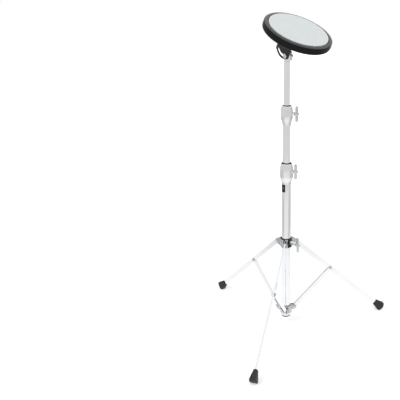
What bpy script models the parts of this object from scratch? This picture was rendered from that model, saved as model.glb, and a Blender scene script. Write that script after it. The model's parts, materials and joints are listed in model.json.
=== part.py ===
"""Practice pad stand: a folding three-legged stand, two clamped tubes and a tilting practice pad.

Units are metres and +Z is up. The origin is on the floor, on the axis of the tubes.
The front leg points to -Y, and the others are a third of a turn to each side.
"""
import math

import bmesh
import bpy
from mathutils import Matrix, Vector

# Clearances
GAP = 0.0003                        # between pieces that touch or nest
LINK_PLAY = 0.0010                  # round a rivet in the opened leg linkage
LINK_SIDE_PLAY = 0.0007             # beside a leg, between the ears of its strut
HUB_PLAY = 0.0008                   # between the sliding core and the base tube

# Tubes
BASE_TUBE_DIAMETER = 0.0254
BASE_TUBE_WALL = 0.0015
BASE_TUBE_LENGTH = 0.4199
MIDDLE_TUBE_DIAMETER = 0.0212
MIDDLE_TUBE_WALL = 0.0014
MIDDLE_TUBE_LENGTH = 0.3000
UPPER_TUBE_DIAMETER = 0.0170
UPPER_TUBE_WALL = 0.0013
UPPER_TUBE_LENGTH = 0.3200
MIDDLE_EXTENSION = 0.1042           # lower clamp's top to upper clamp's bottom
UPPER_EXTENSION = 0.1189            # upper clamp's top to the upper tube's end
GUIDE_HEIGHT = 0.0120               # sliding ring at each inner tube's lower end
GUIDE_WALL = 0.0013                 # of its spigot in the tube
CAP_FLANGE = 0.0030
CAP_CHAMFER = 0.0010
CAP_PLUG = 0.0100

# Tube clamps
LOWER_CLAMP_HEIGHT = 0.0576
LOWER_CLAMP_BELLY = 0.0375
LOWER_CLAMP_MOUTH = 0.0296
UPPER_CLAMP_HEIGHT = 0.0548
UPPER_CLAMP_BELLY = 0.0350
UPPER_CLAMP_MOUTH = 0.0262
CLAMP_SOCKET = 0.0220               # depth of tube held in the foot of a clamp
CLAMP_SKIRT_WALL = 0.0010
CLAMP_RIM = 0.0028                  # straight band at the skirt's edge
CLAMP_BELLY_PLACE = 0.61            # share of the height where the mouth starts to draw in
CLAMP_TAPER = 0.62                  # share of the way up to there that the foot's taper takes
CLAMP_SLIT = 0.0016
CLAMP_BOSS_RADIUS = 0.0055
LOWER_BOSS_STAND = 0.0018           # how far each boss stands out of the belly
UPPER_BOSS_STAND = 0.0048

# Wing screws
SCREW_RADIUS = 0.0030
WING_HUB_RADIUS = 0.0045
WING_HUB_LENGTH = 0.0120
WING_HUB_CHAMFER = 0.0015
WING_PLACE = 0.0052                 # the hub's start to the wing's middle
WING_HALF_HEIGHT = 0.0220
WING_HALF_WIDTH = 0.0042
WING_THICKNESS = 0.0040
HUB_SCREW_REACH = 0.0410            # tube axis to the leg hub's wing
HUB_SCREW_RISE = 0.0040             # above the leg pivots
HUB_SCREW_AZIMUTH = -30.0

# Leg linkage, in the vertical plane of each leg
LEG_AZIMUTHS = {"front": -90.0, "right": 30.0, "left": 150.0}
LEG_ANGLE = 48.8                    # of the open leg from the vertical
LEG_PLANE_OFFSET = 0.0056           # leg's middle plane beside the tube axis
HUB_PIVOT_RADIUS = 0.0280
LOWER_PIVOT_RADIUS = 0.0258
RIVET_DISTANCE = 0.1435             # leg pivot to strut rivet
STRUT_LENGTH = 0.1559               # pivot to rivet
LEG_LENGTH = 0.3640                 # leg pivot to the foot's lower corners
LEG_WIDTH = 0.0135
LEG_THICKNESS = 0.0045
STRUT_WIDTH = 0.0115
STRUT_WALL = 0.0012
STRUT_EAR_UPPER = 0.0220            # web starts this far from the rivet
STRUT_EAR_LOWER = 0.0100            # and this far from the lower pivot
PIN_RADIUS = 0.0025
PIN_HEAD_RADIUS = 0.0044
PIN_HEAD_HEIGHT = 0.0015
PIN_HEAD_FLAT = 0.0031              # radius of the head's flat top
PIN_HEAD_EDGE = 0.0006              # height of its straight edge

# Leg hub and lower hub
EAR_WALL = 0.0016
HUB_CORE_RADIUS = 0.0160
HUB_CORE_BELOW = 0.0120             # below the leg pivots
HUB_CORE_ABOVE = 0.0140
HUB_CORE_CHAMFER = 0.0015
HUB_EAR_RADIUS = 0.0070
SADDLE_BELOW = 0.0090               # strap of a side clevis round the core, below the leg pivots
SADDLE_ABOVE = 0.0125
SADDLE_TURNS = {"right": (-40, 40), "left": (0, 110)}   # degrees from the clevis's own direction
LOWER_HUB_WALL = 0.0040
LOWER_HUB_HEIGHT = 0.0220
LOWER_EAR_RADIUS = 0.0062
LOWER_EAR_ROOT = 0.0084             # half its height at the ring
TUBE_BELOW_PIVOT = 0.0190           # base tube's end below the strut pivots

# Feet
FOOT_LENGTH = 0.0260                # top to lower corners
FOOT_TOP_WIDTH = 0.0165
FOOT_TOP_THICKNESS = 0.0100
FOOT_SOLE_WIDTH = 0.0280
FOOT_SOLE_THICKNESS = 0.0200
FOOT_SOLE_BULGE = 0.0045
FOOT_FLAT = 0.0020                  # how deep the sole's corner is flattened by the floor
FOOT_SOCKET = 0.0160
FOOT_EDGE_ROUND = 0.0020

# Label plate on the base tube
LABEL_HEIGHT = 0.0215
LABEL_WIDTH = 0.0130
LABEL_THICKNESS = 0.0004
LABEL_BELOW_CLAMP = 0.0012
LABEL_AZIMUTH = -117.5

# Tilting head
HEAD_AZIMUTH = -36.0                # direction in which the pad falls
HEAD_TILT = 30.4                    # of the pad from the horizontal
HEAD_WIDTH = 0.0160
HEAD_THICKNESS = 0.0080
HEAD_SHOULDER = 0.0450              # tilt pivot above the upper tube's end
HEAD_SPIGOT = 0.0200
HEAD_SPIGOT_JOIN = 0.0010           # spigot's overlap into the block
TILT_SLOT_RADIUS = 0.0320           # tilt pivot to lock bolt
TILT_SLOT_HALF_ANGLE = 36.0
BOLT_RADIUS = 0.0030
BOLT_HEAD_RADIUS = 0.0069
BOLT_HEAD_HEIGHT = 0.0035
BOLT_HEAD_EDGE = 0.0006             # straight edge below the dome
BOLT_END = 0.0020                   # past its nut
PIVOT_NUT_FLATS = 0.0100
PIVOT_NUT_HEIGHT = 0.0050

# Tilting bracket
BRACKET_WIDTH = 0.0580
BRACKET_DEPTH = 0.0500
BRACKET_WALL = 0.0025
BRACKET_RISE = 0.0210               # flange top above the pivot
BRACKET_DROP = 0.0405               # radius of the plate's lower edge about the pivot
BRACKET_BEND = 0.0030
STUD_BACK = 0.0290                  # stud behind the plate's front
STUD_RADIUS = 0.0040
STUD_HEIGHT = 0.0115                # above the flange
STUD_END = 0.0010                   # below its nut
STUD_NUT_FLATS = 0.0130
STUD_NUT_HEIGHT = 0.0065
WASHER_RADIUS = 0.0070
WASHER_THICKNESS = 0.0012
WING_NUT_HALF_SPAN = 0.0125
WING_NUT_LENGTH = 0.0115
WING_NUT_RADIUS = 0.0060
WING_NUT_END_RADIUS = 0.0048
WING_NUT_PLACE = 0.0080             # its start to the middle of the wings
WING_NUT_THICKNESS = 0.0026
WING_NUT_ROOT_HALF = 0.0030         # half width of a wing at its root
WING_NUT_TIP_HALF = 0.0042
WING_NUT_CORNER = 0.0021
WING_NUT_ROOT = 0.0012              # how far a wing starts inside the hub's wall

# Practice pad
PAD_DIAMETER = 0.1900
PAD_HEIGHT = 0.0215
PAD_RIM_WIDTH = 0.0125              # top of the rubber rim
PAD_RIM_WALL = 0.0080               # side of the rubber rim
PAD_RIM_ROUND = 0.0060
PAD_BOARD_THICKNESS = 0.0120
PAD_FACE_THICKNESS = 0.0030
PAD_FACE_PROUD = 0.0012             # playing face above the rim
PAD_FACE_EDGE = 0.0012              # rounding of its rim
PAD_INSERT_RADIUS = 0.0068

# Facets round a full turn
TUBE_SEGMENTS = 36
SMALL_SEGMENTS = 16
PIN_SEGMENTS = 12
PAD_SEGMENTS = 64
FACET_TWIST = 4.0                   # degrees; keeps a cross hole's edges off its neighbour's

# Steps along an arc or a curve
CURVE_STEPS = 6
HALF_ROUND_STEPS = 12
BAR_END_STEPS = 8
EAR_STEPS = 10
BEND_STEPS = 4
DOME_STEPS = 3
SLOT_STEPS = 16

PAST = 0.0200                       # how far a cutter runs past what it cuts

# Places that follow from the sizes
BASE_TUBE_RADIUS = BASE_TUBE_DIAMETER / 2
MIDDLE_TUBE_RADIUS = MIDDLE_TUBE_DIAMETER / 2
UPPER_TUBE_RADIUS = UPPER_TUBE_DIAMETER / 2
BETA = math.radians(LEG_ANGLE)
SOLE_CORNER = (-FOOT_SOLE_WIDTH / 2, -LEG_LENGTH)
HUB_PIVOT_HEIGHT = -SOLE_CORNER[0] * math.sin(BETA) - SOLE_CORNER[1] * math.cos(BETA) - FOOT_FLAT
RIVET_RADIUS_OUT = HUB_PIVOT_RADIUS + RIVET_DISTANCE * math.sin(BETA)
RIVET_HEIGHT = HUB_PIVOT_HEIGHT - RIVET_DISTANCE * math.cos(BETA)
ALPHA = math.asin((RIVET_RADIUS_OUT - LOWER_PIVOT_RADIUS) / STRUT_LENGTH)
LOWER_PIVOT_HEIGHT = RIVET_HEIGHT - STRUT_LENGTH * math.cos(ALPHA)
BASE_TUBE_BOTTOM = LOWER_PIVOT_HEIGHT - TUBE_BELOW_PIVOT
BASE_TUBE_TOP = BASE_TUBE_BOTTOM + BASE_TUBE_LENGTH
LOWER_CLAMP_BOTTOM = BASE_TUBE_TOP - CLAMP_SOCKET
LOWER_CLAMP_TOP = LOWER_CLAMP_BOTTOM + LOWER_CLAMP_HEIGHT
UPPER_CLAMP_BOTTOM = LOWER_CLAMP_TOP + MIDDLE_EXTENSION
UPPER_CLAMP_TOP = UPPER_CLAMP_BOTTOM + UPPER_CLAMP_HEIGHT
MIDDLE_TUBE_TOP = UPPER_CLAMP_BOTTOM + CLAMP_SOCKET
UPPER_TUBE_TOP = UPPER_CLAMP_TOP + UPPER_EXTENSION
TILT_PIVOT_HEIGHT = UPPER_TUBE_TOP + HEAD_SHOULDER
PLATE_BACK = -HEAD_THICKNESS / 2 - GAP
PLATE_FRONT = PLATE_BACK - BRACKET_WALL
FLANGE_UNDERSIDE = BRACKET_RISE - BRACKET_WALL
STUD_PLACE = PLATE_FRONT + STUD_BACK
CLEVIS_INNER_HALF = LEG_THICKNESS / 2 + GAP
STRUT_INNER_HALF = LEG_THICKNESS / 2 + LINK_SIDE_PLAY
STRUT_OUTER_HALF = STRUT_INNER_HALF + STRUT_WALL

CHROME = ((0.78, 0.79, 0.80), 0.18, 1.0)
STEEL = ((0.60, 0.61, 0.62), 0.35, 1.0)
BLACK_STEEL = ((0.025, 0.025, 0.027), 0.45, 0.0)
BLACK_PLASTIC = ((0.02, 0.02, 0.022), 0.25, 0.0)
GREY_PLASTIC = ((0.32, 0.32, 0.33), 0.50, 0.0)
RUBBER = ((0.035, 0.035, 0.037), 0.75, 0.0)
FOAM = ((0.30, 0.31, 0.32), 0.90, 0.0)
PAD_FACE = ((0.68, 0.71, 0.72), 0.60, 0.0)
BOARD = ((0.10, 0.09, 0.08), 0.70, 0.0)


# Scene helpers

def clear_scene():
    for old in list(bpy.data.objects):
        bpy.data.objects.remove(old, do_unlink=True)


def joint_frame(name, matrix):
    """An empty at a joint or seat; the pieces of that body are modelled in its coordinates."""
    empty = bpy.data.objects.new(name + "_frame", None)
    bpy.context.collection.objects.link(empty)
    empty.matrix_world = matrix
    return empty


def add(name, bm, frame, look):
    """Turns a bmesh into a named object with its own material, parented to a frame."""
    bmesh.ops.recalc_face_normals(bm, faces=bm.faces)
    mesh = bpy.data.meshes.new(name)
    bm.to_mesh(mesh)
    bm.free()
    mesh.shade_smooth()
    mesh.set_sharp_from_angle(angle=math.radians(35))
    piece = bpy.data.objects.new(name, mesh)
    bpy.context.collection.objects.link(piece)
    piece.parent = frame
    colour, roughness, metallic = look
    material = bpy.data.materials.new(name)
    material.use_nodes = True
    shader = material.node_tree.nodes["Principled BSDF"]
    shader.inputs["Base Color"].default_value = (*colour, 1.0)
    shader.inputs["Roughness"].default_value = roughness
    shader.inputs["Metallic"].default_value = metallic
    mesh.materials.append(material)
    return piece


def helper(name, bm, frame):
    """A cutter or a filler that only shapes another piece."""
    bmesh.ops.recalc_face_normals(bm, faces=bm.faces)
    mesh = bpy.data.meshes.new(name)
    bm.to_mesh(mesh)
    bm.free()
    tool = bpy.data.objects.new(name, mesh)
    bpy.context.collection.objects.link(tool)
    tool.parent = frame
    tool.hide_render = True
    tool.display_type = "WIRE"
    return tool


def shape(piece, bm, operation="DIFFERENCE", frame=None):
    """Cuts a bmesh out of a piece, or joins it on; it lies in the given frame, or in the piece's own."""
    count = len(piece.modifiers) + 1
    tool = helper(f"{piece.name}_tool_{count}", bm, frame or piece.parent)
    modifier = piece.modifiers.new(f"{operation.lower()}_{count}", "BOOLEAN")
    modifier.operation = operation
    modifier.solver = "EXACT"
    modifier.object = tool


# Shape helpers

def turned(profile, segments=TUBE_SEGMENTS, axis="Z", twist=0.0):
    """Spins a profile of (radius, height) points about an axis; twist turns its facets, in degrees."""
    bm = bmesh.new()
    start = Vector((math.cos(math.radians(twist)), math.sin(math.radians(twist)), 0.0))
    verts = [bm.verts.new(start * radius + Vector((0.0, 0.0, height))) for radius, height in profile]
    pairs = list(zip(verts, verts[1:]))
    if all(radius > 0 for radius, height in profile):
        pairs.append((verts[-1], verts[0]))
    edges = [bm.edges.new(pair) for pair in pairs]
    bmesh.ops.spin(bm, geom=verts + edges, cent=(0, 0, 0), axis=(0, 0, 1),
                   angle=2 * math.pi, steps=segments, use_merge=True)
    bmesh.ops.remove_doubles(bm, verts=bm.verts, dist=1e-6)
    turns = {"X": Matrix.Rotation(math.pi / 2, 4, "Y"), "Y": Matrix.Rotation(-math.pi / 2, 4, "X")}
    if axis in turns:
        bmesh.ops.transform(bm, matrix=turns[axis], verts=bm.verts)
    return bm


def rod(radius, start, end, axis="Z", segments=SMALL_SEGMENTS):
    return turned([(0.0, start), (radius, start), (radius, end), (0.0, end)], segments, axis, FACET_TWIST)


def ring(inner, outer, start, end, axis="Z", segments=TUBE_SEGMENTS):
    return turned([(inner, start), (outer, start), (outer, end), (inner, end)], segments, axis)


def placed(bm, x=0.0, y=0.0, z=0.0):
    bmesh.ops.translate(bm, verts=bm.verts, vec=(x, y, z))
    return bm


def slab(outline, front, back):
    """An outline of (x, z) points, extruded along Y."""
    bm = bmesh.new()
    face = bm.faces.new([bm.verts.new((x, front, z)) for x, z in outline])
    grown = bmesh.ops.extrude_face_region(bm, geom=[face])
    moved = [item for item in grown["geom"] if isinstance(item, bmesh.types.BMVert)]
    bmesh.ops.translate(bm, verts=moved, vec=(0.0, back - front, 0.0))
    return bm


def block(low, high):
    (x0, y0, z0), (x1, y1, z1) = low, high
    return slab([(x0, z0), (x1, z0), (x1, z1), (x0, z1)], y0, y1)


def arc(x, z, radius, start, end, steps):
    """Points on an arc; angles in degrees from +X towards +Z."""
    turns = [math.radians(start + (end - start) * step / steps) for step in range(steps + 1)]
    return [(x + radius * math.cos(turn), z + radius * math.sin(turn)) for turn in turns]


def bar_outline(low, high, half_width):
    """A bar along Z with two round ends, centred on low and high."""
    foot = arc(0, low, half_width, 180, 360, BAR_END_STEPS)
    return foot + arc(0, high, half_width, 0, 180, BAR_END_STEPS)


def polar(azimuth):
    return Matrix.Rotation(math.radians(azimuth), 4, "Z")


# Clamps, screws and pins

def egg_profile(bore, skirt, belly, mouth, height):
    """Wall section of a clamp casting: skirt at the foot, belly above its middle, rounded mouth."""
    widest = CLAMP_BELLY_PLACE * height
    profile = [(bore, 0.0), (skirt, 0.0), (skirt, CLAMP_RIM)]
    for step in range(1, CURVE_STEPS + 1):
        share = step / CURVE_STEPS
        rise = min(share / CLAMP_TAPER, 1.0)
        swell = rise * rise * (3 - 2 * rise)
        profile.append((skirt + (belly - skirt) * swell, CLAMP_RIM + (widest - CLAMP_RIM) * share))
    for step in range(1, CURVE_STEPS + 1):
        turn = math.pi / 2 * step / CURVE_STEPS
        reach = mouth + (belly - mouth) * math.cos(turn)
        profile.append((reach, widest + (height - widest) * math.sin(turn)))
    profile.append((bore, height))
    return profile


def clamp(name, bottom, height, belly, mouth, stand, tube_radius, inner_radius):
    """A clamp casting with its bush; returns the height of its screw."""
    frame = joint_frame(name, Matrix.Translation((0, 0, bottom)))
    bore = tube_radius + GAP
    skirt = bore + CLAMP_SKIRT_WALL
    casting = add(name, turned(egg_profile(bore, skirt, belly / 2, mouth / 2, height)), frame, CHROME)
    screw_height = CLAMP_BELLY_PLACE * height
    boss_end = belly / 2 + stand
    boss_root = (bore + belly / 2) / 2
    slit_low = (-belly, -CLAMP_SLIT / 2, CLAMP_SOCKET)
    slit_high = (-bore / 2, CLAMP_SLIT / 2, height + GAP)
    shape(casting, block(slit_low, slit_high))
    shape(casting, placed(rod(CLAMP_BOSS_RADIUS, boss_root, boss_end, "X"), z=screw_height), "UNION")
    shape(casting, placed(rod(SCREW_RADIUS + GAP, 0.0, boss_end + GAP, "X"), z=screw_height))
    bush = ring(inner_radius + GAP, bore - GAP, CLAMP_SOCKET + GAP, height - GAP)
    add(name + "_bush", bush, frame, BLACK_PLASTIC)
    return bottom + screw_height, boss_end


def wing_screw(name, frame, tip, root):
    """A screw along the frame's X axis with two wings up and down; root is where its hub starts."""
    end = root + WING_HUB_LENGTH
    profile = [(0.0, tip), (SCREW_RADIUS, tip), (SCREW_RADIUS, root), (WING_HUB_RADIUS, root),
               (WING_HUB_RADIUS, end - WING_HUB_CHAMFER), (SCREW_RADIUS, end), (0.0, end)]
    screw = add(name, turned(profile, SMALL_SEGMENTS, "X"), frame, CHROME)
    middle = root + WING_PLACE
    reach = WING_HALF_HEIGHT - WING_HALF_WIDTH
    outline = [(x + middle, z) for x, z in bar_outline(-reach, reach, WING_HALF_WIDTH)]
    shape(screw, slab(outline, -WING_THICKNESS / 2, WING_THICKNESS / 2), "UNION")


def pin(name, frame, half_length, x=0.0, z=0.0):
    """A rivet along Y through the leg plane, with a head at each end."""
    seat = half_length + GAP
    end = seat + PIN_HEAD_HEIGHT
    rim = seat + PIN_HEAD_EDGE
    profile = [(0.0, -end), (PIN_HEAD_FLAT, -end), (PIN_HEAD_RADIUS, -rim), (PIN_HEAD_RADIUS, -seat),
               (PIN_RADIUS, -seat), (PIN_RADIUS, seat), (PIN_HEAD_RADIUS, seat), (PIN_HEAD_RADIUS, rim),
               (PIN_HEAD_FLAT, end), (0.0, end)]
    add(name, placed(turned(profile, PIN_SEGMENTS, "Y"), x, LEG_PLANE_OFFSET, z), frame, STEEL)


def pin_hole(piece, play, x=0.0, z=0.0, frame=None):
    hole = rod(PIN_RADIUS + play, -PAST, PAST, "Y", PIN_SEGMENTS)
    shape(piece, placed(hole, x, LEG_PLANE_OFFSET, z), frame=frame)


# Base: lower tube, lower hub and label

def make_base():
    frame = joint_frame("base", Matrix.Identity(4))
    bore = BASE_TUBE_RADIUS - BASE_TUBE_WALL
    add("base_tube", ring(bore, BASE_TUBE_RADIUS, BASE_TUBE_BOTTOM, BASE_TUBE_TOP), frame, CHROME)
    lip = BASE_TUBE_BOTTOM - GAP
    low = lip - CAP_FLANGE
    cap = [(0.0, low), (BASE_TUBE_RADIUS - CAP_CHAMFER, low), (BASE_TUBE_RADIUS, low + CAP_CHAMFER),
           (BASE_TUBE_RADIUS, lip), (bore - GAP, lip), (bore - GAP, lip + CAP_PLUG), (0.0, lip + CAP_PLUG)]
    add("base_tube_cap", turned(cap), frame, BLACK_PLASTIC)
    make_lower_hub(frame)
    make_label(frame)


def make_lower_hub(frame):
    inner = BASE_TUBE_RADIUS + GAP
    outer = inner + LOWER_HUB_WALL
    low = LOWER_PIVOT_HEIGHT - LOWER_HUB_HEIGHT / 2
    high = LOWER_PIVOT_HEIGHT + LOWER_HUB_HEIGHT / 2
    hub = add("lower_hub", ring(inner, outer, low, high), frame, CHROME)
    ear_inner = STRUT_OUTER_HALF + GAP
    ear_outer = ear_inner + EAR_WALL
    wall_middle = (inner + outer) / 2
    for leg, azimuth in LEG_AZIMUTHS.items():
        side = joint_frame("lower_" + leg, polar(azimuth))
        for sign in (-1, 1):
            near = LEG_PLANE_OFFSET + sign * ear_inner
            far = LEG_PLANE_OFFSET + sign * ear_outer
            reach = min(max(abs(near), abs(far)), wall_middle - EAR_WALL)
            root = math.sqrt(wall_middle ** 2 - reach ** 2)
            outline = [(root, LOWER_PIVOT_HEIGHT - LOWER_EAR_ROOT)]
            outline += arc(LOWER_PIVOT_RADIUS, LOWER_PIVOT_HEIGHT, LOWER_EAR_RADIUS, -80, 80, EAR_STEPS)
            outline += [(root, LOWER_PIVOT_HEIGHT + LOWER_EAR_ROOT)]
            shape(hub, slab(outline, near, far), "UNION", side)
        pin_hole(hub, GAP, LOWER_PIVOT_RADIUS, LOWER_PIVOT_HEIGHT, side)
        pin(f"lower_pin_{leg}", side, ear_outer, LOWER_PIVOT_RADIUS, LOWER_PIVOT_HEIGHT)


def make_label(frame):
    """A bare curved plate on the base tube, just under the lower clamp."""
    inner = BASE_TUBE_RADIUS + GAP
    outer = inner + LABEL_THICKNESS
    half = math.degrees(LABEL_WIDTH / 2 / outer)
    outline = arc(0, 0, outer, LABEL_AZIMUTH - half, LABEL_AZIMUTH + half, EAR_STEPS)
    outline += arc(0, 0, inner, LABEL_AZIMUTH + half, LABEL_AZIMUTH - half, EAR_STEPS)
    top = LOWER_CLAMP_BOTTOM - LABEL_BELOW_CLAMP
    bm = bmesh.new()
    face = bm.faces.new([bm.verts.new((x, y, top)) for x, y in outline])
    grown = bmesh.ops.extrude_face_region(bm, geom=[face])
    moved = [item for item in grown["geom"] if isinstance(item, bmesh.types.BMVert)]
    bmesh.ops.translate(bm, verts=moved, vec=(0.0, 0.0, -LABEL_HEIGHT))
    add("label_plate", bm, frame, BLACK_PLASTIC)


# Telescoping tubes

def make_inner_tube(name, top, length, radius, wall, outer_bore):
    """An inner tube and the guide ring that centres its lower end in the tube outside."""
    frame = joint_frame(name, Matrix.Identity(4))
    bottom = top - length
    add(name + "_tube", ring(radius - wall, radius, bottom, top), frame, CHROME)
    guide_radius = outer_bore - GAP
    spigot = radius - wall - GAP
    bore = spigot - GUIDE_WALL
    low = bottom - GAP - GUIDE_HEIGHT / 2
    seat = bottom - GAP
    profile = [(bore, low), (guide_radius, low), (guide_radius, seat), (spigot, seat),
               (spigot, seat + GUIDE_HEIGHT / 2), (bore, seat + GUIDE_HEIGHT / 2)]
    add(name + "_guide", turned(profile), frame, GREY_PLASTIC)


# Leg linkage

def make_leg_hub():
    frame = joint_frame("leg_hub", Matrix.Translation((0, 0, HUB_PIVOT_HEIGHT)))
    bore = BASE_TUBE_RADIUS + HUB_PLAY
    rim = HUB_CORE_RADIUS - HUB_CORE_CHAMFER
    profile = [(bore, -HUB_CORE_BELOW), (rim, -HUB_CORE_BELOW),
               (HUB_CORE_RADIUS, -HUB_CORE_BELOW + HUB_CORE_CHAMFER),
               (HUB_CORE_RADIUS, HUB_CORE_ABOVE - HUB_CORE_CHAMFER),
               (rim, HUB_CORE_ABOVE), (bore, HUB_CORE_ABOVE)]
    core = add("hub_core", turned(profile), frame, BLACK_PLASTIC)
    screw_frame = joint_frame("hub_screw", Matrix.Translation((0, 0, HUB_PIVOT_HEIGHT + HUB_SCREW_RISE))
                              @ polar(HUB_SCREW_AZIMUTH))
    shape(core, rod(SCREW_RADIUS + GAP, 0.0, HUB_CORE_RADIUS + PAST, "X"), frame=screw_frame)
    collar_start = HUB_CORE_RADIUS + GAP
    collar = ring(SCREW_RADIUS + GAP, CLAMP_BOSS_RADIUS, collar_start, HUB_SCREW_REACH - GAP, "X",
                  SMALL_SEGMENTS)
    add("hub_screw_collar", collar, screw_frame, CHROME)
    wing_screw("hub_wing_screw", screw_frame, bore + GAP, HUB_SCREW_REACH)
    for leg, azimuth in LEG_AZIMUTHS.items():
        side = joint_frame("hub_" + leg, Matrix.Translation((0, 0, HUB_PIVOT_HEIGHT)) @ polar(azimuth))
        make_clevis(leg, side)
        pin(f"hub_pin_{leg}", side, CLEVIS_INNER_HALF + EAR_WALL, HUB_PIVOT_RADIUS)


def make_clevis(leg, side):
    """A folded sheet clevis: a web on the core and two tall ears that hold the leg between them."""
    back = HUB_CORE_RADIUS + GAP
    outer_half = CLEVIS_INNER_HALF + EAR_WALL
    outline = [(back, -HUB_CORE_BELOW)]
    outline += arc(HUB_PIVOT_RADIUS, 0, HUB_EAR_RADIUS, -60, 75, EAR_STEPS)
    outline += [(back, HUB_CORE_ABOVE)]
    solid = slab(outline, LEG_PLANE_OFFSET - outer_half, LEG_PLANE_OFFSET + outer_half)
    clevis = add(f"hub_clevis_{leg}", solid, side, CHROME)
    if leg in SADDLE_TURNS:
        shape(clevis, saddle(*SADDLE_TURNS[leg]), "UNION")
    low = (back + EAR_WALL, LEG_PLANE_OFFSET - CLEVIS_INNER_HALF, -HUB_CORE_BELOW - PAST)
    high = (HUB_PIVOT_RADIUS + PAST, LEG_PLANE_OFFSET + CLEVIS_INNER_HALF, HUB_CORE_ABOVE + PAST)
    shape(clevis, block(low, high))
    pin_hole(clevis, GAP, HUB_PIVOT_RADIUS)


def saddle(start, end):
    """A strap round the core; its corners lie on those of the core's facets."""
    inner = HUB_CORE_RADIUS + GAP
    steps = (end - start) // 10
    outline = arc(0, 0, inner + EAR_WALL, start, end, steps) + arc(0, 0, inner, end, start, steps)
    bm = bmesh.new()
    face = bm.faces.new([bm.verts.new((x, y, -SADDLE_BELOW)) for x, y in outline])
    grown = bmesh.ops.extrude_face_region(bm, geom=[face])
    moved = [item for item in grown["geom"] if isinstance(item, bmesh.types.BMVert)]
    bmesh.ops.translate(bm, verts=moved, vec=(0.0, 0.0, SADDLE_BELOW + SADDLE_ABOVE))
    return bm


def make_leg(leg, azimuth):
    pivot = Matrix.Translation((HUB_PIVOT_RADIUS, 0, HUB_PIVOT_HEIGHT))
    frame = joint_frame(leg + "_leg", polar(azimuth) @ pivot @ Matrix.Rotation(-BETA, 4, "Y"))
    half = LEG_WIDTH / 2
    foot_top = -LEG_LENGTH + FOOT_LENGTH
    end = foot_top - FOOT_SOCKET + GAP
    outline = arc(0, 0, half, 0, 180, HALF_ROUND_STEPS) + [(-half, end), (half, end)]
    near = LEG_PLANE_OFFSET - LEG_THICKNESS / 2
    far = LEG_PLANE_OFFSET + LEG_THICKNESS / 2
    strip = add(leg + "_leg", slab(outline, near, far), frame, CHROME)
    pin_hole(strip, GAP)
    pin_hole(strip, LINK_PLAY, z=-RIVET_DISTANCE)
    make_foot(leg, frame, foot_top)


def make_foot(leg, frame, top):
    half_top, half_sole = FOOT_TOP_WIDTH / 2, FOOT_SOLE_WIDTH / 2
    sole_radius = (half_sole ** 2 + FOOT_SOLE_BULGE ** 2) / (2 * FOOT_SOLE_BULGE)
    spread = math.degrees(math.asin(half_sole / sole_radius))
    centre = -LEG_LENGTH - FOOT_SOLE_BULGE + sole_radius
    outline = [(half_top, top), (-half_top, top)]
    outline += arc(0, centre, sole_radius, 270 - spread, 270 + spread, HALF_ROUND_STEPS)
    bm = slab(outline, -FOOT_SOLE_THICKNESS / 2, FOOT_SOLE_THICKNESS / 2)
    for vert in bm.verts:
        share = min((top - vert.co.z) / FOOT_LENGTH, 1.0)
        thickness = FOOT_TOP_THICKNESS + (FOOT_SOLE_THICKNESS - FOOT_TOP_THICKNESS) * share
        vert.co.y = LEG_PLANE_OFFSET + vert.co.y * thickness / FOOT_SOLE_THICKNESS
    middle = LEG_PLANE_OFFSET
    rounded = [edge for edge in bm.edges if (edge.verts[0].co.y - middle) * (edge.verts[1].co.y - middle) > 0]
    bmesh.ops.bevel(bm, geom=rounded, offset=FOOT_EDGE_ROUND, segments=2, profile=0.5, affect="EDGES")
    foot = add(leg + "_foot", bm, frame, RUBBER)
    half = LEG_WIDTH / 2 + GAP
    deep = LEG_THICKNESS / 2 + GAP
    shape(foot, block((-half, LEG_PLANE_OFFSET - deep, top - FOOT_SOCKET),
                      (half, LEG_PLANE_OFFSET + deep, top + FOOT_SOCKET)))
    reach = LEG_LENGTH + PAST
    floor = block((-reach, -reach, -PAST), (reach, reach, 0.0))
    shape(foot, floor, frame=joint_frame(leg + "_floor", Matrix.Identity(4)))


def make_strut(leg, azimuth):
    pivot = Matrix.Translation((LOWER_PIVOT_RADIUS, 0, LOWER_PIVOT_HEIGHT))
    frame = joint_frame(leg + "_strut", polar(azimuth) @ pivot @ Matrix.Rotation(ALPHA, 4, "Y"))
    half = STRUT_WIDTH / 2
    near = LEG_PLANE_OFFSET - STRUT_OUTER_HALF
    far = LEG_PLANE_OFFSET + STRUT_OUTER_HALF
    strut = add(leg + "_strut", slab(bar_outline(0.0, STRUT_LENGTH, half), near, far), frame, CHROME)
    web_face = -half + STRUT_WALL
    web_low, web_high = STRUT_EAR_LOWER, STRUT_LENGTH - STRUT_EAR_UPPER
    out = STRUT_WIDTH
    channel = [(-out, -out), (out, -out), (out, STRUT_LENGTH + out), (-out, STRUT_LENGTH + out),
               (-out, web_high), (web_face, web_high), (web_face, web_low), (-out, web_low)]
    shape(strut, slab(channel, LEG_PLANE_OFFSET - STRUT_INNER_HALF, LEG_PLANE_OFFSET + STRUT_INNER_HALF))
    pin_hole(strut, GAP)
    pin_hole(strut, GAP, z=STRUT_LENGTH)
    pin(leg + "_rivet", frame, STRUT_OUTER_HALF, z=STRUT_LENGTH)


# Tilting head

def head_matrix():
    return Matrix.Translation((0, 0, TILT_PIVOT_HEIGHT)) @ polar(HEAD_AZIMUTH)


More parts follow.
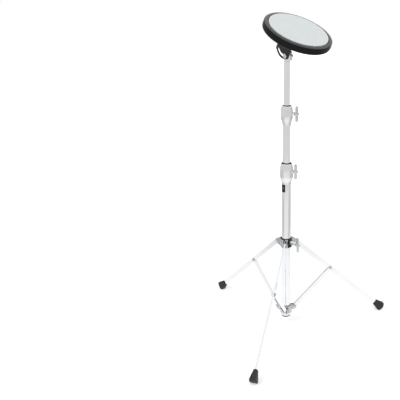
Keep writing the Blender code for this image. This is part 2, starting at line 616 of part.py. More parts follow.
def make_head():
    """A flattened block on a spigot in the upper tube, and the two bolts through it."""
    frame = joint_frame("head", head_matrix())
    half = HEAD_WIDTH / 2
    shoulder = -HEAD_SHOULDER + GAP
    outline = [(-half, shoulder), (half, shoulder)] + arc(0, 0, half, 0, 180, HALF_ROUND_STEPS)
    head = add("head_block", slab(outline, -HEAD_THICKNESS / 2, HEAD_THICKNESS / 2), frame, CHROME)
    spigot = UPPER_TUBE_RADIUS - UPPER_TUBE_WALL - GAP
    shape(head, rod(spigot, -HEAD_SHOULDER - HEAD_SPIGOT, shoulder + HEAD_SPIGOT_JOIN), "UNION")
    for height in (0.0, -TILT_SLOT_RADIUS):
        shape(head, placed(rod(BOLT_RADIUS + GAP, -HEAD_THICKNESS, HEAD_THICKNESS, "Y"), z=height))
    back = HEAD_THICKNESS / 2
    nut_end = back + GAP + PIVOT_NUT_HEIGHT
    bolt("pivot_bolt", frame, 0.0, nut_end + BOLT_END)
    nut("pivot_nut", frame, 0.0, back + GAP, nut_end, "Y", BOLT_RADIUS, PIVOT_NUT_FLATS, STEEL)
    washer_start = back + GAP
    washer_end = washer_start + WASHER_THICKNESS
    washer = ring(BOLT_RADIUS + GAP, WASHER_RADIUS, washer_start, washer_end, "Y", SMALL_SEGMENTS)
    add("lock_washer", placed(washer, z=-TILT_SLOT_RADIUS), frame, STEEL)
    wing_start = washer_end + GAP
    bolt("lock_bolt", frame, -TILT_SLOT_RADIUS, wing_start + WING_NUT_LENGTH + BOLT_END)
    make_wing_nut(wing_start)


def bolt(name, frame, height, end):
    """A domed bolt from the plate's front, through the block, to its end behind."""
    seat = PLATE_FRONT - GAP
    top = seat - BOLT_HEAD_HEIGHT
    dome = BOLT_HEAD_HEIGHT - BOLT_HEAD_EDGE
    profile = [(0.0, top)]
    for step in range(1, DOME_STEPS + 1):
        turn = math.pi / 2 * step / DOME_STEPS
        profile.append((BOLT_HEAD_RADIUS * math.sin(turn), top + dome * (1 - math.cos(turn))))
    profile += [(BOLT_HEAD_RADIUS, seat), (BOLT_RADIUS, seat), (BOLT_RADIUS, end), (0.0, end)]
    add(name, placed(turned(profile, SMALL_SEGMENTS, "Y"), z=height), frame, CHROME)


def nut(name, frame, y, start, end, axis, bolt_radius, flats, look):
    hexagon = ring(bolt_radius + GAP, flats / 2 / math.cos(math.pi / 6), start, end, axis, 6)
    body = add(name, placed(hexagon, y=y), frame, look)
    shape(body, placed(rod(bolt_radius + GAP, start - GAP, end + GAP, axis), y=y))


def make_wing_nut(start):
    frame = joint_frame("tilt_wing_nut", head_matrix() @ Matrix.Translation((0, 0, -TILT_SLOT_RADIUS)))
    end = start + WING_NUT_LENGTH
    bore = BOLT_RADIUS + GAP
    profile = [(bore, start), (WING_NUT_RADIUS, start), (WING_NUT_END_RADIUS, end), (bore, end)]
    body = add("tilt_wing_nut", turned(profile, SMALL_SEGMENTS, "Y"), frame, CHROME)
    tip = WING_NUT_HALF_SPAN
    shoulder = tip - WING_NUT_CORNER
    root = bore + WING_NUT_ROOT
    edge = WING_NUT_TIP_HALF - WING_NUT_CORNER
    half = [(root, -WING_NUT_ROOT_HALF), (shoulder, -WING_NUT_TIP_HALF), (tip, -edge),
            (tip, edge), (shoulder, WING_NUT_TIP_HALF), (root, WING_NUT_ROOT_HALF)]
    for sign in (-1, 1):
        wing = slab([(sign * x, z) for x, z in half], -WING_NUT_THICKNESS / 2, WING_NUT_THICKNESS / 2)
        upright = Matrix.Rotation(math.pi / 2, 4, "Y") @ Matrix.Rotation(math.pi / 2, 4, "X")
        bmesh.ops.transform(wing, matrix=upright, verts=wing.verts)
        shape(body, placed(wing, y=start + WING_NUT_PLACE), "UNION")


def make_bracket():
    """An L of black sheet: a plate with a curved slot in front of the head, a flange over it."""
    frame = joint_frame("bracket", head_matrix() @ Matrix.Rotation(math.radians(HEAD_TILT), 4, "Y"))
    far = PLATE_FRONT + BRACKET_DEPTH
    half = BRACKET_WIDTH / 2
    bend_y = PLATE_FRONT + BRACKET_BEND
    bend_z = BRACKET_RISE - BRACKET_BEND
    outer_bend = arc(bend_y, bend_z, BRACKET_BEND, 180, 90, BEND_STEPS)
    inner_bend = arc(bend_y, bend_z, BRACKET_BEND - BRACKET_WALL, 90, 180, BEND_STEPS)
    blank_low = -BRACKET_DROP - GAP
    section = [(PLATE_FRONT, blank_low)] + outer_bend + [(far, BRACKET_RISE), (far, FLANGE_UNDERSIDE)]
    section += inner_bend + [(PLATE_BACK, blank_low)]
    bm = slab(section, -half, half)
    bmesh.ops.transform(bm, matrix=Matrix.Rotation(math.pi / 2, 4, "Z"), verts=bm.verts)
    bracket = add("tilt_bracket", bm, frame, BLACK_STEEL)
    side_turn = math.degrees(math.acos(min(half / BRACKET_DROP, 1.0)))
    trim = arc(0, 0, BRACKET_DROP, 180 + side_turn, 360 - side_turn, SLOT_STEPS)
    side_end = trim[-1][1]
    trim += [(half + PAST, side_end), (half + PAST, blank_low - PAST), (-half - PAST, blank_low - PAST),
             (-half - PAST, side_end)]
    shape(bracket, slab(trim, PLATE_FRONT - PAST, PLATE_BACK + GAP))
    slot_half = BOLT_RADIUS + GAP
    left = 270 - TILT_SLOT_HALF_ANGLE
    right = 270 + TILT_SLOT_HALF_ANGLE
    end_x = TILT_SLOT_RADIUS * math.cos(math.radians(right))
    end_z = TILT_SLOT_RADIUS * math.sin(math.radians(right))
    slot = arc(0, 0, TILT_SLOT_RADIUS + slot_half, left, right, SLOT_STEPS)
    slot += arc(end_x, end_z, slot_half, right, right + 180, CURVE_STEPS)[1:-1]
    slot += arc(0, 0, TILT_SLOT_RADIUS - slot_half, right, left, SLOT_STEPS)
    slot += arc(-end_x, end_z, slot_half, left + 180, left + 360, CURVE_STEPS)[1:-1]
    shape(bracket, slab(slot, PLATE_FRONT - PAST, PLATE_BACK + GAP))
    shape(bracket, rod(BOLT_RADIUS + GAP, PLATE_FRONT - PAST, PLATE_BACK + GAP, "Y"))
    shape(bracket, placed(rod(STUD_RADIUS + GAP, 0.0, BRACKET_RISE + PAST), y=STUD_PLACE))
    nut_end = FLANGE_UNDERSIDE - GAP
    nut_start = nut_end - STUD_NUT_HEIGHT
    stud = rod(STUD_RADIUS, nut_start - STUD_END, BRACKET_RISE + STUD_HEIGHT)
    add("pad_stud", placed(stud, y=STUD_PLACE), frame, BLACK_STEEL)
    nut("stud_nut", frame, STUD_PLACE, nut_start, nut_end, "Z", STUD_RADIUS, STUD_NUT_FLATS, BLACK_STEEL)


# Practice pad

def make_pad():
    frame = joint_frame("pad", head_matrix() @ Matrix.Rotation(math.radians(HEAD_TILT), 4, "Y")
                        @ Matrix.Translation((0, STUD_PLACE, BRACKET_RISE)))
    outer = PAD_DIAMETER / 2
    board_radius = outer - PAD_RIM_WALL
    face_radius = outer - PAD_RIM_WIDTH
    base = GAP
    board_top = base + PAD_BOARD_THICKNESS
    face_top = PAD_HEIGHT + PAD_FACE_PROUD
    face_bottom = face_top - PAD_FACE_THICKNESS
    insert_bore = STUD_RADIUS + GAP
    insert = ring(insert_bore, PAD_INSERT_RADIUS, base, board_top, segments=SMALL_SEGMENTS)
    add("pad_insert", insert, frame, STEEL)
    hole = PAD_INSERT_RADIUS + GAP
    add("pad_board", ring(hole, board_radius - GAP, base, board_top, segments=PAD_SEGMENTS), frame, BOARD)
    foam = rod(face_radius - GAP, board_top + GAP, face_bottom - GAP, segments=PAD_SEGMENTS)
    add("pad_foam", foam, frame, FOAM)
    corner = face_radius - GAP - PAD_FACE_EDGE
    face = [(0.0, face_bottom), (face_radius - GAP, face_bottom)]
    face += arc(corner, face_top - PAD_FACE_EDGE, PAD_FACE_EDGE, 0, 90, DOME_STEPS) + [(0.0, face_top)]
    add("pad_face", turned(face, PAD_SEGMENTS), frame, PAD_FACE)
    rise = PAD_RIM_ROUND
    profile = [(board_radius, base)]
    profile += arc(outer - rise, base + rise, rise, -90, 0, CURVE_STEPS)
    profile += arc(outer - rise, PAD_HEIGHT - rise, rise, 0, 90, CURVE_STEPS)
    profile += [(face_radius, PAD_HEIGHT), (face_radius, board_top + GAP), (board_radius, board_top + GAP)]
    add("pad_rim", turned(profile, PAD_SEGMENTS), frame, RUBBER)


def make_all():
    clear_scene()
    make_base()
    lower_screw, lower_boss = clamp("lower_clamp", LOWER_CLAMP_BOTTOM, LOWER_CLAMP_HEIGHT, LOWER_CLAMP_BELLY,
                                    LOWER_CLAMP_MOUTH, LOWER_BOSS_STAND, BASE_TUBE_RADIUS,
                                    MIDDLE_TUBE_RADIUS)
    lower_frame = joint_frame("lower_wing_screw", Matrix.Translation((0, 0, lower_screw)))
    wing_screw("lower_wing_screw", lower_frame, BASE_TUBE_RADIUS + GAP, lower_boss + GAP)
    make_inner_tube("middle", MIDDLE_TUBE_TOP, MIDDLE_TUBE_LENGTH, MIDDLE_TUBE_RADIUS, MIDDLE_TUBE_WALL,
                    BASE_TUBE_RADIUS - BASE_TUBE_WALL)
    upper_screw, upper_boss = clamp("upper_clamp", UPPER_CLAMP_BOTTOM, UPPER_CLAMP_HEIGHT, UPPER_CLAMP_BELLY,
                                    UPPER_CLAMP_MOUTH, UPPER_BOSS_STAND, MIDDLE_TUBE_RADIUS,
                                    UPPER_TUBE_RADIUS)
    upper_frame = joint_frame("upper_wing_screw", Matrix.Translation((0, 0, upper_screw)))
    wing_screw("upper_wing_screw", upper_frame, MIDDLE_TUBE_RADIUS + GAP, upper_boss + GAP)
    make_inner_tube("upper", UPPER_TUBE_TOP, UPPER_TUBE_LENGTH, UPPER_TUBE_RADIUS, UPPER_TUBE_WALL,
                    MIDDLE_TUBE_RADIUS - MIDDLE_TUBE_WALL)
    make_leg_hub()
    for leg, azimuth in LEG_AZIMUTHS.items():
        make_leg(leg, azimuth)
        make_strut(leg, azimuth)
    make_head()
    make_bracket()
    make_pad()


make_all()
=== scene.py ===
import json
import math

import bmesh
import bpy
from mathutils import Matrix, Vector


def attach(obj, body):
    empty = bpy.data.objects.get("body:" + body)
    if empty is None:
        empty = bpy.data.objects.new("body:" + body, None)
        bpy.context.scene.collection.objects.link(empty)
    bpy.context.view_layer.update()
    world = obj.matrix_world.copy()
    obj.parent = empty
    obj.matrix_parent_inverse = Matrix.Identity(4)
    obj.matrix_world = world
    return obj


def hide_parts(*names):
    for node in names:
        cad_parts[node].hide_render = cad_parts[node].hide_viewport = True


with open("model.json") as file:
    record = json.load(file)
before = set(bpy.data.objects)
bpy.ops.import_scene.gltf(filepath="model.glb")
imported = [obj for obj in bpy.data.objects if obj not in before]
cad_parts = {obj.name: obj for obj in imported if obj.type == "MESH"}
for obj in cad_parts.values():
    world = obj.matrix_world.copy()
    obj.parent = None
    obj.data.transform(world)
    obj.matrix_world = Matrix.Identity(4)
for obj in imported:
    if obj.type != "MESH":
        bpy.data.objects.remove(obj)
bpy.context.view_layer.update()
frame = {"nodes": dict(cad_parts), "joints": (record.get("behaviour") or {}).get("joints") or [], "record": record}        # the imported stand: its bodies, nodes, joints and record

JOINTS = {joint["name"]: joint for joint in frame["joints"]}

# Legs: the way each one points, in degrees about the tubes, and its joints at both hubs
LEG_AZIMUTHS = {"front": -90.0, "right": 30.0, "left": 150.0}
HUB_JOINTS = {"front": "hub_rise", "right": "right_leg_pivot", "left": "left_leg_pivot"}
LOWER_JOINTS = {"front": "leg_fold", "right": "right_strut_pivot", "left": "left_strut_pivot"}
HUB_SCREW_AZIMUTH = -30.0
SADDLE_TURNS = {"right": (-40, 40), "left": (0, 110)}   # straps round the core, from each clevis

GAP = 0.0003                    # between pieces that touch
TUBE_WALL = 0.0015              # of the base tube, and more than the other two have
MIDDLE_WALL = 0.0014
UPPER_WALL = 0.0013
SHEET = 0.0016                  # folded sheet of the clevises
STRUT_SHEET = 0.0012
BRACKET_SHEET = 0.0025
CLAMP_SOCKET = 0.0220           # depth of tube held in the foot of a clamp
SCREW_RADIUS = 0.0030
SCREW_PITCH = 0.0010
STUD_PITCH = 0.00125
PIN_RADIUS = 0.0025
PAST = 0.0200                   # how far a cutter runs past what it cuts

HAIR_EDGE = 0.0003              # roundings of edges, from crisp to soft
THIN_EDGE = 0.0005
EDGE = 0.0006
SOFT_EDGE = 0.0008
WIDE_EDGE = 0.0010
STRAIGHT = 165                  # degrees; a corner flatter than this isn't rounded
SIDE_SHARE = 0.46               # most of a side that one rounded corner takes
BEVEL_ANGLE = 32                # degrees; an edge flatter than this isn't bevelled

ROUND = 96                      # facets round a tube
FINE = 192                      # facets round the pad
SMALL = 40                      # facets round bolts and pins

WORLD = Matrix.Identity(4)


# Frames of reference

def polar(azimuth, height=0.0):
    return Matrix.Translation((0, 0, height)) @ Matrix.Rotation(math.radians(azimuth), 4, "Z")


def axes(origin, across, up):
    """A frame whose Y lies across and whose Z points up."""
    z = Vector(up).normalized()
    y = Vector(across).normalized()
    x = y.cross(z).normalized()
    turn = Matrix((x, y, z)).transposed().to_4x4()
    return Matrix.Translation(origin) @ turn


def extent(node, matrix=WORLD):
    """Lowest and highest corner of a CAD node, in a frame of reference."""
    back = matrix.inverted()
    points = [back @ vert.co for vert in frame["nodes"][node].data.vertices]
    low = Vector([min(point[i] for point in points) for i in range(3)])
    high = Vector([max(point[i] for point in points) for i in range(3)])
    return low, high


def middle(node):
    low, high = extent(node)
    return (low + high) / 2


def bore_radius(node):
    """Least distance of a node's corners from the axis of the tubes."""
    return min(Vector((vert.co.x, vert.co.y)).length for vert in frame["nodes"][node].data.vertices)


HUB_HEIGHT = JOINTS["hub_rise"]["pos_m"][2]
PIVOT = Vector(JOINTS["pad_tilt"]["pos_m"])
HEAD_ACROSS = Vector(JOINTS["pad_tilt"]["axis"])
PAD_SEAT = Vector(JOINTS["pad_turn"]["pos_m"])
PAD_UP = Vector(JOINTS["pad_turn"]["axis"])
HEAD = axes(PIVOT, HEAD_ACROSS, (0, 0, 1))
BRACKET = axes(PIVOT, HEAD_ACROSS, PAD_UP)
PAD = axes(PAD_SEAT, HEAD_ACROSS, PAD_UP)
HUB_SCREW = polar(HUB_SCREW_AZIMUTH, JOINTS["hub_wing_turn"]["pos_m"][2])
LOCK_HEIGHT = (HEAD.inverted() @ middle("lock_bolt")).z
STUD_Y = (BRACKET.inverted() @ PAD_SEAT).y
STUD_RADIUS = extent("pad_stud", BRACKET)[1].x
BASE_RADIUS = extent("base_tube")[1].x

SIDES, LEGS, STRUTS, LOWER_SIDES = {}, {}, {}, {}
for leg, azimuth in LEG_AZIMUTHS.items():
    hub_pivot = Vector(JOINTS[HUB_JOINTS[leg]]["pos_m"])
    lower_pivot = Vector(JOINTS[LOWER_JOINTS[leg]]["pos_m"])
    rivet = middle(leg + "_rivet")
    SIDES[leg] = polar(azimuth, HUB_HEIGHT)
    across = SIDES[leg].to_3x3() @ Vector((0, 1, 0))
    LOWER_SIDES[leg] = polar(azimuth, lower_pivot.z)
    LEGS[leg] = axes(hub_pivot, across, hub_pivot - rivet)
    STRUTS[leg] = axes(lower_pivot, across, rivet - lower_pivot)


# Materials

NOISE_ROUGHNESS = 0.55
NOISE_RANGE = (0.3, 0.7)        # values that a noise texture keeps to, nearly everywhere
GLOSS_DETAIL = 5.0


class Look:
    """A procedural material; its textures lie in the piece's own coordinates, in metres.

    colour is two shades, the scale of the noise between them and, where needed, its detail.
    roughness is the least and the most, and the scale of the noise between them.
    """

    def __init__(self, name, colour, roughness, metallic=0.0, specular=0.5):
        self.material = bpy.data.materials.new(name)
        self.material.use_nodes = True
        self.tree = self.material.node_tree
        self.link = self.tree.links.new
        self.shader = self.tree.nodes["Principled BSDF"]
        self.place = self.tree.nodes.new("ShaderNodeTexCoord").outputs["Object"]
        self.shader.inputs["Metallic"].default_value = metallic
        self.shader.inputs["Specular IOR Level"].default_value = specular
        self.heights = None
        self.tint(*colour)
        self.gloss(*roughness)

    def node(self, kind, **values):
        made = self.tree.nodes.new(kind)
        for key, value in values.items():
            made.inputs[key.replace("_", " ")].default_value = value
        return made

    def noise(self, scale, detail=4.0, stretch=(1.0, 1.0, 1.0)):
        mapping = self.node("ShaderNodeMapping", Scale=stretch)
        texture = self.node("ShaderNodeTexNoise", Scale=scale, Detail=detail, Roughness=NOISE_ROUGHNESS)
        self.link(self.place, mapping.inputs["Vector"])
        self.link(mapping.outputs["Vector"], texture.inputs["Vector"])
        return texture.outputs["Fac"]

    def cells(self, scale):
        texture = self.node("ShaderNodeTexVoronoi", Scale=scale)
        self.link(self.place, texture.inputs["Vector"])
        return texture.outputs["Distance"]

    def spread(self, value, low, high):
        """Maps the middle range of a texture's values to low..high."""
        start, end = NOISE_RANGE
        ramp = self.node("ShaderNodeMapRange", From_Min=start, From_Max=end, To_Min=low, To_Max=high)
        self.link(value, ramp.inputs["Value"])
        return ramp.outputs["Result"]

    def blended(self, share, first, second):
        mix = self.tree.nodes.new("ShaderNodeMix")
        mix.data_type = "RGBA"
        for socket, colour in ((mix.inputs["A"], first), (mix.inputs["B"], second)):
            if isinstance(colour, tuple):
                socket.default_value = (*colour, 1.0)
            else:
                self.link(colour, socket)
        self.link(share, mix.inputs["Factor"])
        return next(out for out in mix.outputs if out.type == "RGBA")

    def tint(self, first, second, scale, detail=4.0):
        self.colour = self.blended(self.spread(self.noise(scale, detail), 0.0, 1.0), first, second)
        self.link(self.colour, self.shader.inputs["Base Color"])

    def stain(self, share, shade):
        """Lays a second shade over the colour where share is high."""
        self.colour = self.blended(share, self.colour, shade)
        self.link(self.colour, self.shader.inputs["Base Color"])

    def gloss(self, low, high, scale):
        value = self.spread(self.noise(scale, GLOSS_DETAIL), low, high)
        self.link(value, self.shader.inputs["Roughness"])

    def relief(self, height, distance):
        """Adds a bump; distance is the relief's real depth."""
        bump = self.node("ShaderNodeBump", Distance=distance, Strength=1.0)
        self.link(height, bump.inputs["Height"])
        if self.heights is not None:
            self.link(self.heights, bump.inputs["Normal"])
        self.heights = bump.outputs["Normal"]
        self.link(self.heights, self.shader.inputs["Normal"])


def grained(name, colour, roughness, layers, **values):
    """A material with layers of noise in relief, each given by its scale, detail and depth."""
    look = Look(name, colour, roughness, **values)
    for scale, detail, depth in layers:
        look.relief(look.noise(scale, detail), depth)
    return look.material


def chrome():
    """Bright plate over drawn tube: faint drawing lines along Z and a trace of haze."""
    look = Look("chrome", ((0.80, 0.81, 0.825), (0.74, 0.75, 0.77), 14.0), (0.05, 0.13, 30.0), 1.0)
    look.relief(look.noise(900.0, 3.0, stretch=(1.0, 1.0, 0.04)), 0.0000012)
    look.relief(look.noise(160.0, 2.0), 0.000004)
    return look.material


def chrome_cast():
    """Plate over a die casting: soft ripples and slightly duller."""
    return grained("chrome_cast", ((0.79, 0.80, 0.81), (0.71, 0.72, 0.73), 40.0),
                   (0.08, 0.18, 55.0), [(230.0, 3.0, 0.000014), (1500.0, 2.0, 0.000002)], metallic=1.0)


def zinc_steel():
    return grained("zinc_steel", ((0.63, 0.64, 0.66), (0.50, 0.51, 0.54), 120.0),
                   (0.22, 0.38, 260.0), [(1400.0, 3.0, 0.000006)], metallic=1.0)


def black_steel():
    """Powder coat: an orange-peel skin with a faint sheen."""
    return grained("black_steel", ((0.012, 0.012, 0.013), (0.018, 0.018, 0.020), 90.0),
                   (0.34, 0.50, 300.0), [(1100.0, 2.0, 0.00003)], specular=0.25)


def black_plastic():
    return grained("black_plastic", ((0.008, 0.008, 0.009), (0.013, 0.013, 0.014), 70.0),
                   (0.16, 0.26, 180.0), [(420.0, 2.0, 0.000008)], specular=0.3)


def bush_plastic():
    """The bushes' dry, dull plastic."""
    return grained("bush_plastic", ((0.010, 0.010, 0.011), (0.016, 0.016, 0.017), 90.0),
                   (0.70, 0.85, 220.0), [(700.0, 2.0, 0.00001)], specular=0.03)


def grey_plastic():
    return grained("grey_plastic", ((0.30, 0.30, 0.31), (0.36, 0.36, 0.37), 150.0),
                   (0.40, 0.55, 400.0), [(1300.0, 3.0, 0.000012)])


def rubber():
    """Moulded rubber: fine grain, with a little dust in its low spots."""
    look = Look("rubber", ((0.020, 0.020, 0.021), (0.032, 0.032, 0.034), 60.0),
                (0.50, 0.72, 240.0), specular=0.32)
    look.relief(look.noise(1800.0, 4.0), 0.00003)
    look.relief(look.cells(1200.0), 0.00001)
    return look.material


def rim_side():
    """The pad's rim: dark, close-grained rubber."""
    return grained("rim_side", ((0.009, 0.009, 0.010), (0.015, 0.015, 0.016), 45.0),
                   (0.34, 0.44, 160.0), [(1500.0, 3.0, 0.000016)], specular=0.05)


# Rim top: painted highlight, a lighter copy of the rim rubber for the faces that look up
def rim_top():
    """The top of the rim: the rim's rubber made glossier, so that it shines at a low angle, and a shade
    lighter than the side as a painted highlight.
    """
    return grained("rim_top", ((0.012, 0.012, 0.013), (0.020, 0.020, 0.021), 45.0),
                   (0.20, 0.28, 160.0), [(1500.0, 3.0, 0.000010)], specular=0.62)


def wing_cast():
    """The wing screws' castings: plated thinner and duller than the clamps."""
    return grained("wing_cast", ((0.62, 0.63, 0.64), (0.54, 0.55, 0.56), 60.0),
                   (0.16, 0.28, 90.0), [(260.0, 3.0, 0.000012)], metallic=1.0)


def folded_steel():
    """Folded sheet of the hubs, with a dull plate."""
    return grained("folded_steel", ((0.50, 0.51, 0.52), (0.42, 0.43, 0.44), 110.0),
                   (0.16, 0.30, 180.0), [(700.0, 3.0, 0.000006)], metallic=1.0)


def pad_rubber():
    """The playing face: pale, finely pebbled, with the faintest mottling from moulding."""
    look = Look("pad_rubber", ((0.640, 0.674, 0.682), (0.679, 0.708, 0.715), 28.0, 6.0), (0.50, 0.66, 90.0))
    look.stain(look.spread(look.noise(420.0, 3.0), 0.0, 0.22), (0.60, 0.64, 0.65))
    look.relief(look.cells(1100.0), 0.00005)
    look.relief(look.noise(2600.0, 2.0), 0.00001)
    return look.material


def foam():
    look = Look("foam", ((0.24, 0.25, 0.26), (0.34, 0.35, 0.36), 500.0), (0.80, 0.95, 300.0))
    look.relief(look.cells(1500.0), 0.00012)
    return look.material


def board():
    """Dark-stained fibreboard."""
    look = Look("board", ((0.070, 0.052, 0.036), (0.120, 0.090, 0.064), 220.0, 8.0), (0.60, 0.78, 150.0))
    look.stain(look.spread(look.noise(900.0, 5.0, stretch=(1.0, 0.25, 1.0)), 0.0, 0.5), (0.045, 0.032, 0.022))
    look.relief(look.noise(1200.0, 5.0, stretch=(1.0, 0.3, 1.0)), 0.00004)
    return look.material


def label():
    return grained("label", ((0.007, 0.007, 0.008), (0.012, 0.012, 0.013), 160.0),
                   (0.50, 0.62, 400.0), [(900.0, 2.0, 0.000008)], specular=0.1)


LOOKS = {"chrome": chrome(), "chrome_cast": chrome_cast(), "zinc_steel": zinc_steel(),
         "black_steel": black_steel(), "black_plastic": black_plastic(), "grey_plastic": grey_plastic(),
         "rubber": rubber(), "foam": foam(), "pad_face": pad_rubber(), "board": board(), "label": label()}
RIM_LOOK = rim_side()
RIM_TOP_LOOK = rim_top()
BUSH_LOOK = bush_plastic()
WING_LOOK = wing_cast()
FOLDED_LOOK = folded_steel()
SLOTS = {row["node"]: row["material_slot"] for row in frame["record"]["subparts"]}


# Outlines

def arc(x, z, radius, start, end, steps):
    """Points on an arc; angles in degrees from the first axis towards the second."""
    turns = [math.radians(start + (end - start) * step / steps) for step in range(steps + 1)]
    return [(x + radius * math.cos(turn), z + radius * math.sin(turn)) for turn in turns]


def rounded(points, radius, steps=4, closed=True):
    """The outline with its corners rounded, as far as the shorter side beside each one allows."""
    smooth = []
    for index, point in enumerate(points):
        corner = Vector(point)
        ends = not closed and index in (0, len(points) - 1)
        before = Vector(points[index - 1]) - corner
        after = Vector(points[(index + 1) % len(points)]) - corner
        if ends or before.angle(after) > math.radians(STRAIGHT):
            smooth.append(tuple(corner))
            continue
        room = min(before.length, after.length) * SIDE_SHARE
        reach = min(radius / math.tan(before.angle(after) / 2), room)
        start = corner + before.normalized() * reach
        end = corner + after.normalized() * reach
        for step in range(steps + 1):
            share = step / steps
            rest = 1 - share
            smooth.append(tuple(start * rest ** 2 + corner * 2 * share * rest + end * share ** 2))
    return smooth


def sleeve(inner, outer, low, high):
    """The wall section of a tube, or of a solid rod where inner is 0."""
    return [(inner, low), (outer, low), (outer, high), (inner, high)]


def squarish(half_x, half_y, power, count):
    """Points round an oval that a power under 1 makes squarer."""
    points = []
    for i in range(count):
        turn = 2 * math.pi * i / count
        points.append((half_x * math.copysign(abs(math.cos(turn)) ** power, math.cos(turn)),
                       half_y * math.copysign(abs(math.sin(turn)) ** power, math.sin(turn))))
    return points


def smoothstep(share):
    share = min(max(share, 0.0), 1.0)
    return share * share * (3 - 2 * share)


# Solids

def skin(rings, loop=False):
    """Joins rings of points with faces; a ring of one point closes a pole, other open ends are capped."""
    bm = bmesh.new()
    rows = [[bm.verts.new(point) for point in ring] for ring in rings]
    pairs = list(zip(rows, rows[1:]))
    if loop:
        pairs.append((rows[-1], rows[0]))
    for low, high in pairs:
        count = max(len(low), len(high))
        for i in range(count):
            j = (i + 1) % count
            corners = [low[i % len(low)], low[j % len(low)], high[j % len(high)], high[i % len(high)]]
            bm.faces.new(list(dict.fromkeys(corners)))
    for row in (rows[0], rows[-1]):
        if not loop and len(row) > 2:
            bm.faces.new(row)
    bmesh.ops.recalc_face_normals(bm, faces=bm.faces)
    return bm


def moved(bm, matrix):
    bmesh.ops.transform(bm, matrix=matrix, verts=bm.verts)
    return bm


TURNS = {"X": Matrix.Rotation(math.pi / 2, 4, "Y"), "Y": Matrix.Rotation(-math.pi / 2, 4, "X"), "Z": WORLD}
ON_AXIS = 1e-9                  # a smaller radius counts as none


def spun(profile, segments=ROUND, axis="Z"):
    """A profile of (radius, height) points spun about an axis; a closed section unless it meets the axis."""
    rings = []
    for radius, height in profile:
        if radius < ON_AXIS:
            rings.append([(0.0, 0.0, height)])
        else:
            turns = [2 * math.pi * i / segments for i in range(segments)]
            rings.append([(radius * math.cos(turn), radius * math.sin(turn), height) for turn in turns])
    return moved(skin(rings, loop=all(radius > ON_AXIS for radius, height in profile)), TURNS[axis])


def threaded(radius, depth, pitch, low, high, axis="Z", segments=32, rows_per_turn=8):
    """A shank with a helical thread, its ends chamfered."""
    rings = [[(0.0, 0.0, low)]]
    count = max(int((high - low) / pitch * rows_per_turn), 4)
    for row in range(count + 1):
        height = low + (high - low) * row / count
        ring = []
        for i in range(segments):
            phase = ((height - low) / pitch - i / segments) % 1.0
            crest = 1.0 - abs(2 * phase - 1.0)
            end = min(height - low, high - height)
            reach = min(radius - depth + depth * crest, radius - depth + end)
            turn = 2 * math.pi * i / segments
            ring.append((reach * math.cos(turn), reach * math.sin(turn), height))
        rings.append(ring)
    rings.append([(0.0, 0.0, high)])
    return moved(skin(rings), TURNS[axis])


def slab(outline, front, back):
    """An outline of (x, z) points, extruded along Y."""
    return skin([[(x, front, z) for x, z in outline], [(x, back, z) for x, z in outline]])


def block(low, high):
    (x0, y0, z0), (x1, y1, z1) = low, high
    return slab([(x0, z0), (x1, z0), (x1, z1), (x0, z1)], y0, y1)


def placed(bm, x=0.0, y=0.0, z=0.0):
    bmesh.ops.translate(bm, verts=bm.verts, vec=(x, y, z))
    return bm


def rod(radius, start, end, axis="Z", segments=SMALL):
    return spun(sleeve(0.0, radius, start, end), segments, axis)


def linked(name, data):
    made = bpy.data.objects.new(name, data)
    bpy.context.scene.collection.objects.link(made)
    return made


def held(bm, name, matrix):
    """A short-lived object that holds a mesh, in the stand's frame."""
    mesh = bpy.data.meshes.new(name)
    moved(bm, matrix).to_mesh(mesh)
    bm.free()
    mesh.shade_smooth()
    return linked(name, mesh)


def shaped(bm, matrix=WORLD, cuts=(), joins=(), trims=(), bevel=0.0, steps=3):
    """The mesh of a solid after its trims, joins and cuts, with its edges rounded."""
    base = held(bm, "base", matrix)
    tools = []
    for operation, shapes in (("INTERSECT", trims), ("UNION", joins), ("DIFFERENCE", cuts)):
        for item in shapes:
            tool = held(item, "tool", matrix)
            modifier = base.modifiers.new(operation, "BOOLEAN")
            modifier.operation = operation
            modifier.solver = "EXACT"
            modifier.object = tool
            tools.append(tool)
    if bevel:
        modifier = base.modifiers.new("edge", "BEVEL")
        modifier.width = bevel
        modifier.segments = steps
        modifier.limit_method = "ANGLE"
        modifier.angle_limit = math.radians(BEVEL_ANGLE)
    graph = bpy.context.evaluated_depsgraph_get()
    mesh = bpy.data.meshes.new_from_object(base.evaluated_get(graph))
    for item in [base, *tools]:
        bpy.data.objects.remove(item, do_unlink=True)
    return mesh


def show(node, mesh, body, look=None, sharp=40, weighted=True):
    """Places a finished mesh as a piece, for its CAD node; sharp is in degrees."""
    name, slot = node + "_fine", SLOTS[node]
    mesh.name = name
    mesh.materials.clear()
    mesh.materials.append(look or LOOKS[slot])
    for polygon in mesh.polygons:
        polygon.material_index = 0
    mesh.shade_smooth()
    mesh.set_sharp_from_angle(angle=math.radians(sharp))
    piece = linked(name, mesh)
    if weighted:
        piece.modifiers.new("normals", "WEIGHTED_NORMAL").keep_sharp = True
    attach(piece, body)
    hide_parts(node)
    return piece


# Tubes, cap and label

LABEL_THICKNESS = 0.0004
LABEL_HALF_WIDTH = 0.0063
LABEL_CORNER = 0.0012
LABEL_FACET = 0.003             # longest edge that isn't divided before the label is bent


def make_tube(node, body, wall):
    low, high = extent(node)
    section = sleeve(high.x - wall, high.x, low.z, high.z)
    show(node, shaped(spun(rounded(section, THIN_EDGE))), body, weighted=False)


def make_cap():
    low, high = extent("base_tube_cap")
    inner = BASE_RADIUS - TUBE_WALL - GAP
    seat = extent("base_tube")[0].z - GAP
    profile = [(0.0, low.z), (high.x, low.z), (high.x, seat), (inner, seat), (inner, high.z), (0.0, high.z)]
    show("base_tube_cap", shaped(spun(rounded(profile, SOFT_EDGE, closed=False))), "base")


